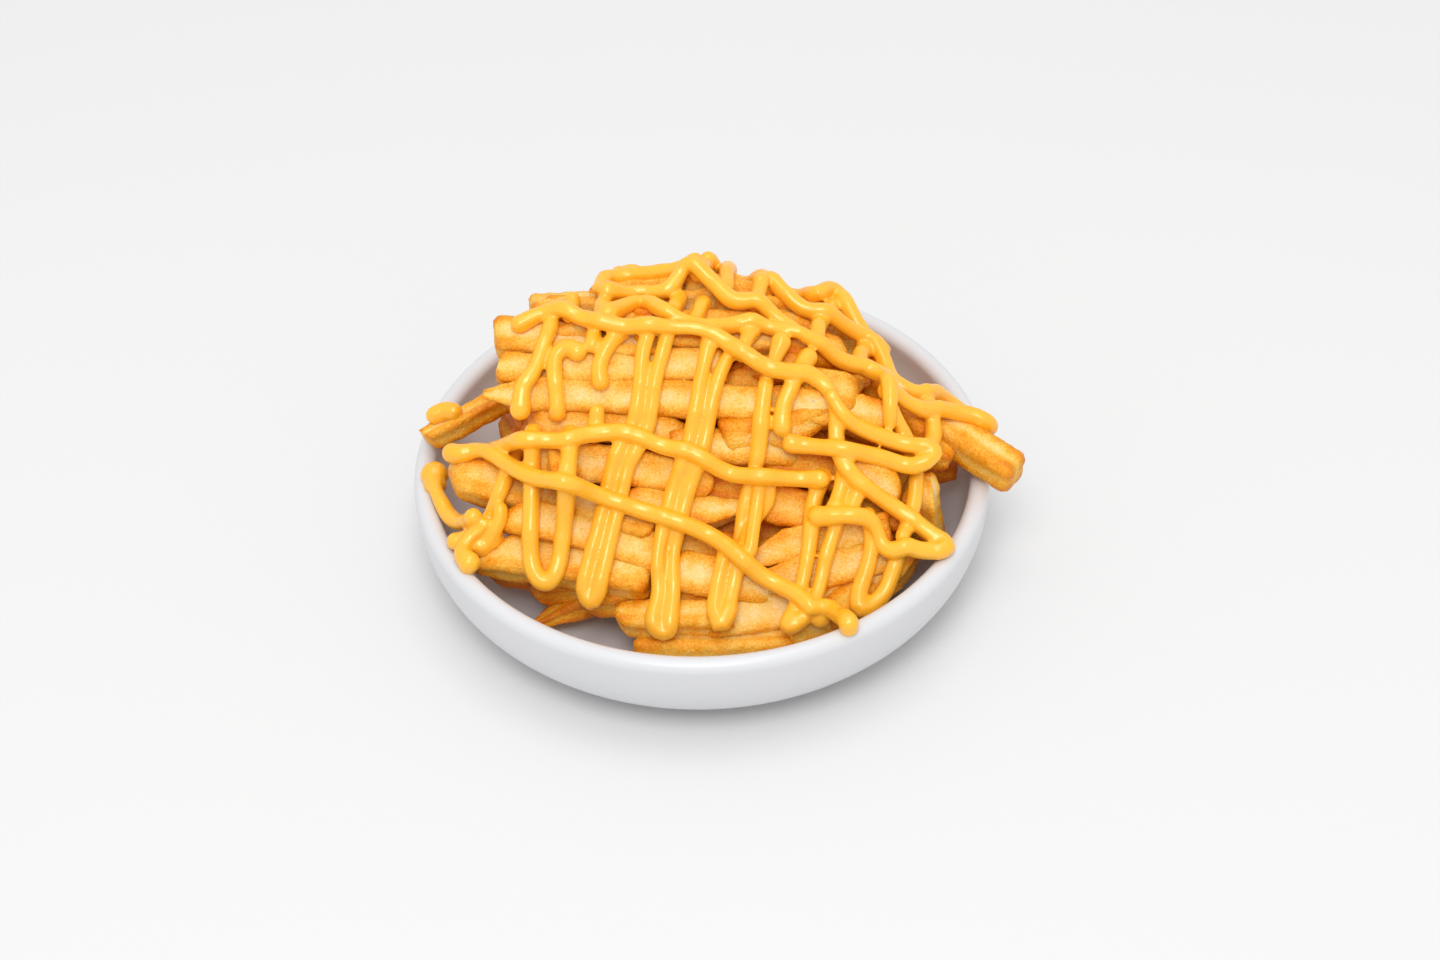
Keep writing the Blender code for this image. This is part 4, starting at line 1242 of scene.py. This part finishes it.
def mottle_group():
    """Uneven cloudiness of a surface: one soft and one fine noise, added in given amounts."""
    group, entry, leave = new_group(
        "mottle",
        (("Soft Scale", 60.0), ("Soft Amount", 0.5), ("Fine Scale", 600.0), ("Fine Amount", 0.5)),
        (("Value", "NodeSocketFloat"),))
    nodes, links = group.nodes, group.links
    where = nodes.new("ShaderNodeTexCoord")
    total = 0.0
    for label, detail in (("Soft", 3.0), ("Fine", 2.0)):
        cloud = nodes.new("ShaderNodeTexNoise")
        cloud.inputs["Detail"].default_value = detail
        links.new(where.outputs["Object"], cloud.inputs["Vector"])
        links.new(entry.outputs[f"{label} Scale"], cloud.inputs["Scale"])
        centred = math_node(nodes, links, "SUBTRACT", cloud.outputs["Fac"], 0.5)
        amount = entry.outputs[f"{label} Amount"]
        total = math_node(nodes, links, "MULTIPLY_ADD", centred, amount, total)
    links.new(total, leave.inputs["Value"])
    return group


def new_finish(name):
    """A new material, with its nodes, its links and its shader."""
    finish = bpy.data.materials.new(name)
    finish.use_nodes = True
    nodes = finish.node_tree.nodes
    return finish, nodes, finish.node_tree.links, nodes["Principled BSDF"]


def set_values(node, values):
    for label, value in values.items():
        node.inputs[label].default_value = value


def place_mottle(nodes, mottle, soft, fine):
    """The shared clouds in a material: scale and amount of the soft ones and of the fine ones."""
    node = nodes.new("ShaderNodeGroup")
    node.node_tree = mottle
    set_values(node, {"Soft Scale": soft[0], "Soft Amount": soft[1],
                      "Fine Scale": fine[0], "Fine Amount": fine[1]})
    return node.outputs["Value"]


def screen_light(value):
    """A screen's colour value, 0 to 255, as the light that a shader works with."""
    return ((value / 255 + 0.055) / 1.055) ** 2.4 if value > 10 else value / 255 / 12.92


def paint(nodes, links, tone, colours):
    """Colours a surface by its tone."""
    ramp = nodes.new("ShaderNodeValToRGB")
    elements = ramp.color_ramp.elements
    while len(elements) < len(colours):
        elements.new(0.5)
    for element, (at, colour) in zip(elements, colours):
        element.position = at
        element.color = (*(screen_light(value) for value in colour), 1.0)
    links.new(tone, ramp.inputs["Fac"])
    links.new(ramp.outputs["Color"], nodes["Principled BSDF"].inputs["Base Color"])


def emboss(nodes, links, height, strength, distance):
    """Fine relief of a surface."""
    bump = nodes.new("ShaderNodeBump")
    set_values(bump, {"Strength": strength, "Distance": distance})
    links.new(height, bump.inputs["Height"])
    links.new(bump.outputs["Normal"], nodes["Principled BSDF"].inputs["Normal"])


def math_node(nodes, links, operation, *values):
    """One step of arithmetic on numbers and on what other nodes put out."""
    node = nodes.new("ShaderNodeMath")
    node.operation = operation
    for socket, value in zip(node.inputs, values):
        if isinstance(value, (int, float)):
            socket.default_value = value
        else:
            links.new(value, socket)
    return node.outputs[0]


def fried_crust(mottle):
    """Fried potato: sandy pale faces, darker crisp edges and ends, browner where fried longer, and
    darker and more orange deep in the heap as painted shade between the fries.
    """
    finish, nodes, links, shader = new_finish("fried_crust")
    marks = {}
    for mark in MARKS:
        read = nodes.new("ShaderNodeAttribute")
        read.attribute_name = mark
        marks[mark] = read.outputs["Fac"]
    # the browning mark is the fries' own browning, and painted shade for the fries listed as lying in
    # shade
    tone = math_node(nodes, links, "MULTIPLY_ADD", marks["browning"], CRUST_BROWNING, CRUST_TONE)
    # the depth mark darkens the crust as painted shade between the fries
    for mark, share in CRUST_DARKENING:
        tone = math_node(nodes, links, "MULTIPLY_ADD", marks[mark], share, tone)
    clouds = place_mottle(nodes, mottle, (190.0, 0.75), (1300.0, 0.6))
    tone = math_node(nodes, links, "ADD", tone, clouds)
    paint(nodes, links, tone, CRUST_COLOURS)
    grain = place_mottle(nodes, mottle, (420.0, 0.7), (1500.0, 1.2))
    emboss(nodes, links, grain, 0.8, 0.0005)
    oily = math_node(nodes, links, "MULTIPLY_ADD", tone, CRUST_OILINESS, CRUST_ROUGHNESS)
    rough = math_node(nodes, links, "MULTIPLY_ADD", grain, CRUST_GRAIN_ROUGHNESS, oily)
    rough = math_node(nodes, links, "MAXIMUM", rough, CRUST_SMOOTHEST)
    links.new(rough, shader.inputs["Roughness"])
    set_values(shader, {"Specular IOR Level": 0.3, "Subsurface Weight": 0.2,
                        "Subsurface Radius": (1.0, 0.4, 0.1), "Subsurface Scale": 0.002})
    return finish


def cheese_sauce(mottle):
    """Warm cheese sauce: smooth and glossy, and deeper in colour where light passes through it."""
    finish, nodes, links, shader = new_finish("cheese_sauce")
    clouds = place_mottle(nodes, mottle, (70.0, 0.9), (420.0, 0.3))
    paint(nodes, links, math_node(nodes, links, "ADD", clouds, MIDDLE_TONE), SAUCE_COLOURS)
    rough = math_node(nodes, links, "MULTIPLY_ADD", clouds, *SAUCE_ROUGHNESS)
    links.new(rough, shader.inputs["Roughness"])
    ripple = place_mottle(nodes, mottle, (160.0, 0.8), (700.0, 0.12))
    rib = nodes.new("ShaderNodeAttribute")
    rib.attribute_name = "rib"
    height = math_node(nodes, links, "MULTIPLY_ADD", rib.outputs["Fac"], RIB_DEPTH, ripple)
    emboss(nodes, links, height, 0.2, 0.001)
    set_values(shader, {"Subsurface Weight": 0.15, "Subsurface Radius": (1.0, 0.5, 0.12),
                        "Subsurface Scale": 0.0025, "IOR": 1.75,
                        "Specular Tint": (1.0, 0.97, 0.72, 1.0)})
    return finish


def white_glaze(mottle):
    """Satin white glaze, faintly cloudy."""
    finish, nodes, links, shader = new_finish("white_glaze")
    clouds = place_mottle(nodes, mottle, (25.0, 0.5), (900.0, 0.12))
    paint(nodes, links, math_node(nodes, links, "ADD", clouds, MIDDLE_TONE), GLAZE_COLOURS)
    rough = math_node(nodes, links, "MULTIPLY_ADD", clouds, *GLAZE_ROUGHNESS)
    links.new(rough, shader.inputs["Roughness"])
    emboss(nodes, links, clouds, 0.08, 0.001)
    return finish


def pale_floor(mottle):
    """The matt floor that the dish stands on."""
    finish, nodes, links, shader = new_finish("pale_floor")
    clouds = place_mottle(nodes, mottle, (6.0, 0.2), (300.0, 0.1))
    paint(nodes, links, math_node(nodes, links, "ADD", clouds, MIDDLE_TONE), FLOOR_COLOURS)
    set_values(shader, {"Roughness": 0.8, "Specular IOR Level": 0.1})
    return finish


def add_floor(finish):
    """The plain floor, which belongs to the stage."""
    side = FLOOR_REACH
    corners = [(-side, -side, 0), (side, -side, 0), (side, side, 0), (-side, side, 0)]
    mesh = mesh_from("floor", corners, [(0, 1, 2, 3)])
    mesh.materials.append(finish)
    floor = bpy.data.objects.new("floor", mesh)
    bpy.context.scene.collection.objects.link(floor)


def light_studio():
    """An even white sky, and square soft lamps that face the heap."""
    world = bpy.data.worlds.new("studio")
    world.use_nodes = True
    sky = world.node_tree.nodes["Background"]
    set_values(sky, {"Color": (1.0, 1.0, 1.0, 1.0), "Strength": SKY_STRENGTH})
    bpy.context.scene.world = world
    for name, (place, size, power) in LAMPS.items():
        light = bpy.data.lights.new(name, "AREA")
        light.size = size
        light.energy = power
        lamp = bpy.data.objects.new(name, light)
        lamp.location = place
        lamp.rotation_euler = (LAMP_TARGET - Vector(place)).to_track_quat("-Z", "Y").to_euler()
        bpy.context.scene.collection.objects.link(lamp)
    bpy.context.scene.view_settings.view_transform = "Standard"


def add_camera():
    """The camera looks down at the front of the dish, and tilts, swings and rolls a little."""
    tilt, swing, roll = (math.radians(angle) for angle in CAMERA_TURNS)
    steep = math.radians(CAMERA_PITCH)
    forward = Vector((0, math.cos(steep), -math.sin(steep)))
    right = Vector((1, 0, 0))
    upward = right.cross(forward)
    step = Quaternion(right, tilt)
    forward, upward = step @ forward, step @ upward
    step = Quaternion(upward, swing)
    forward, right = step @ forward, step @ right
    step = Quaternion(forward, roll)
    right, upward = step @ right, step @ upward
    camera = bpy.data.cameras.new("camera")
    camera.lens = LENS
    camera.sensor_width = SENSOR
    camera.clip_start = CLIP_START
    holder = bpy.data.objects.new("camera", camera)
    turned = Matrix((right, upward, -forward)).transposed().to_4x4()
    holder.matrix_world = Matrix.Translation(CAMERA_PLACE) @ turned
    bpy.context.scene.collection.objects.link(holder)
    bpy.context.scene.camera = holder


def dress(mottle):
    """Puts every piece of the object in the scene, over the solids of the dish and the fries."""
    dish = turned_mesh("dish", dish_profile(FINE_CORNER_STEPS, FINE_RIM_STEPS), FINE_SEGMENTS)
    add_piece("glazed_dish", dish, white_glaze(mottle), "glazed_dish", "dish")
    plain_dish = turned_mesh("plain dish", dish_profile(CORNER_STEPS, RIM_STEPS), SOLID_SEGMENTS)
    dish_tree = tree_of(plain_dish)
    bpy.data.meshes.remove(plain_dish)

    crust = fried_crust(mottle)
    front, back = laid_fries()
    front_mesh = fries_mesh("front_fries", front, FRONT_RING_GAP, 0)
    back_mesh = fries_mesh("back_fries", back, BACK_RING_GAP, BACK_NUMBERS)
    fries_trees = [tree_of(front_mesh), tree_of(back_mesh)]
    add_piece("front_fries", front_mesh, crust, "fried_potato", "fries")
    add_piece("back_fries", back_mesh, crust, "fried_potato", "fries")
    add_piece("heap_core_in_shade", core_mesh(), crust, "fried_potato", "fries")
    add_piece("fried_crumbs", crumbs_mesh(front_mesh), crust, "fried_potato", "fries")

    sauce = melted(laid_strands(fries_trees, dish_tree))
    add_piece("sauce_strands", sauce, cheese_sauce(mottle), "cheese_sauce", "fries")


add_camera()
shared_mottle = mottle_group()
dress(shared_mottle)
add_floor(pale_floor(shared_mottle))
light_studio()
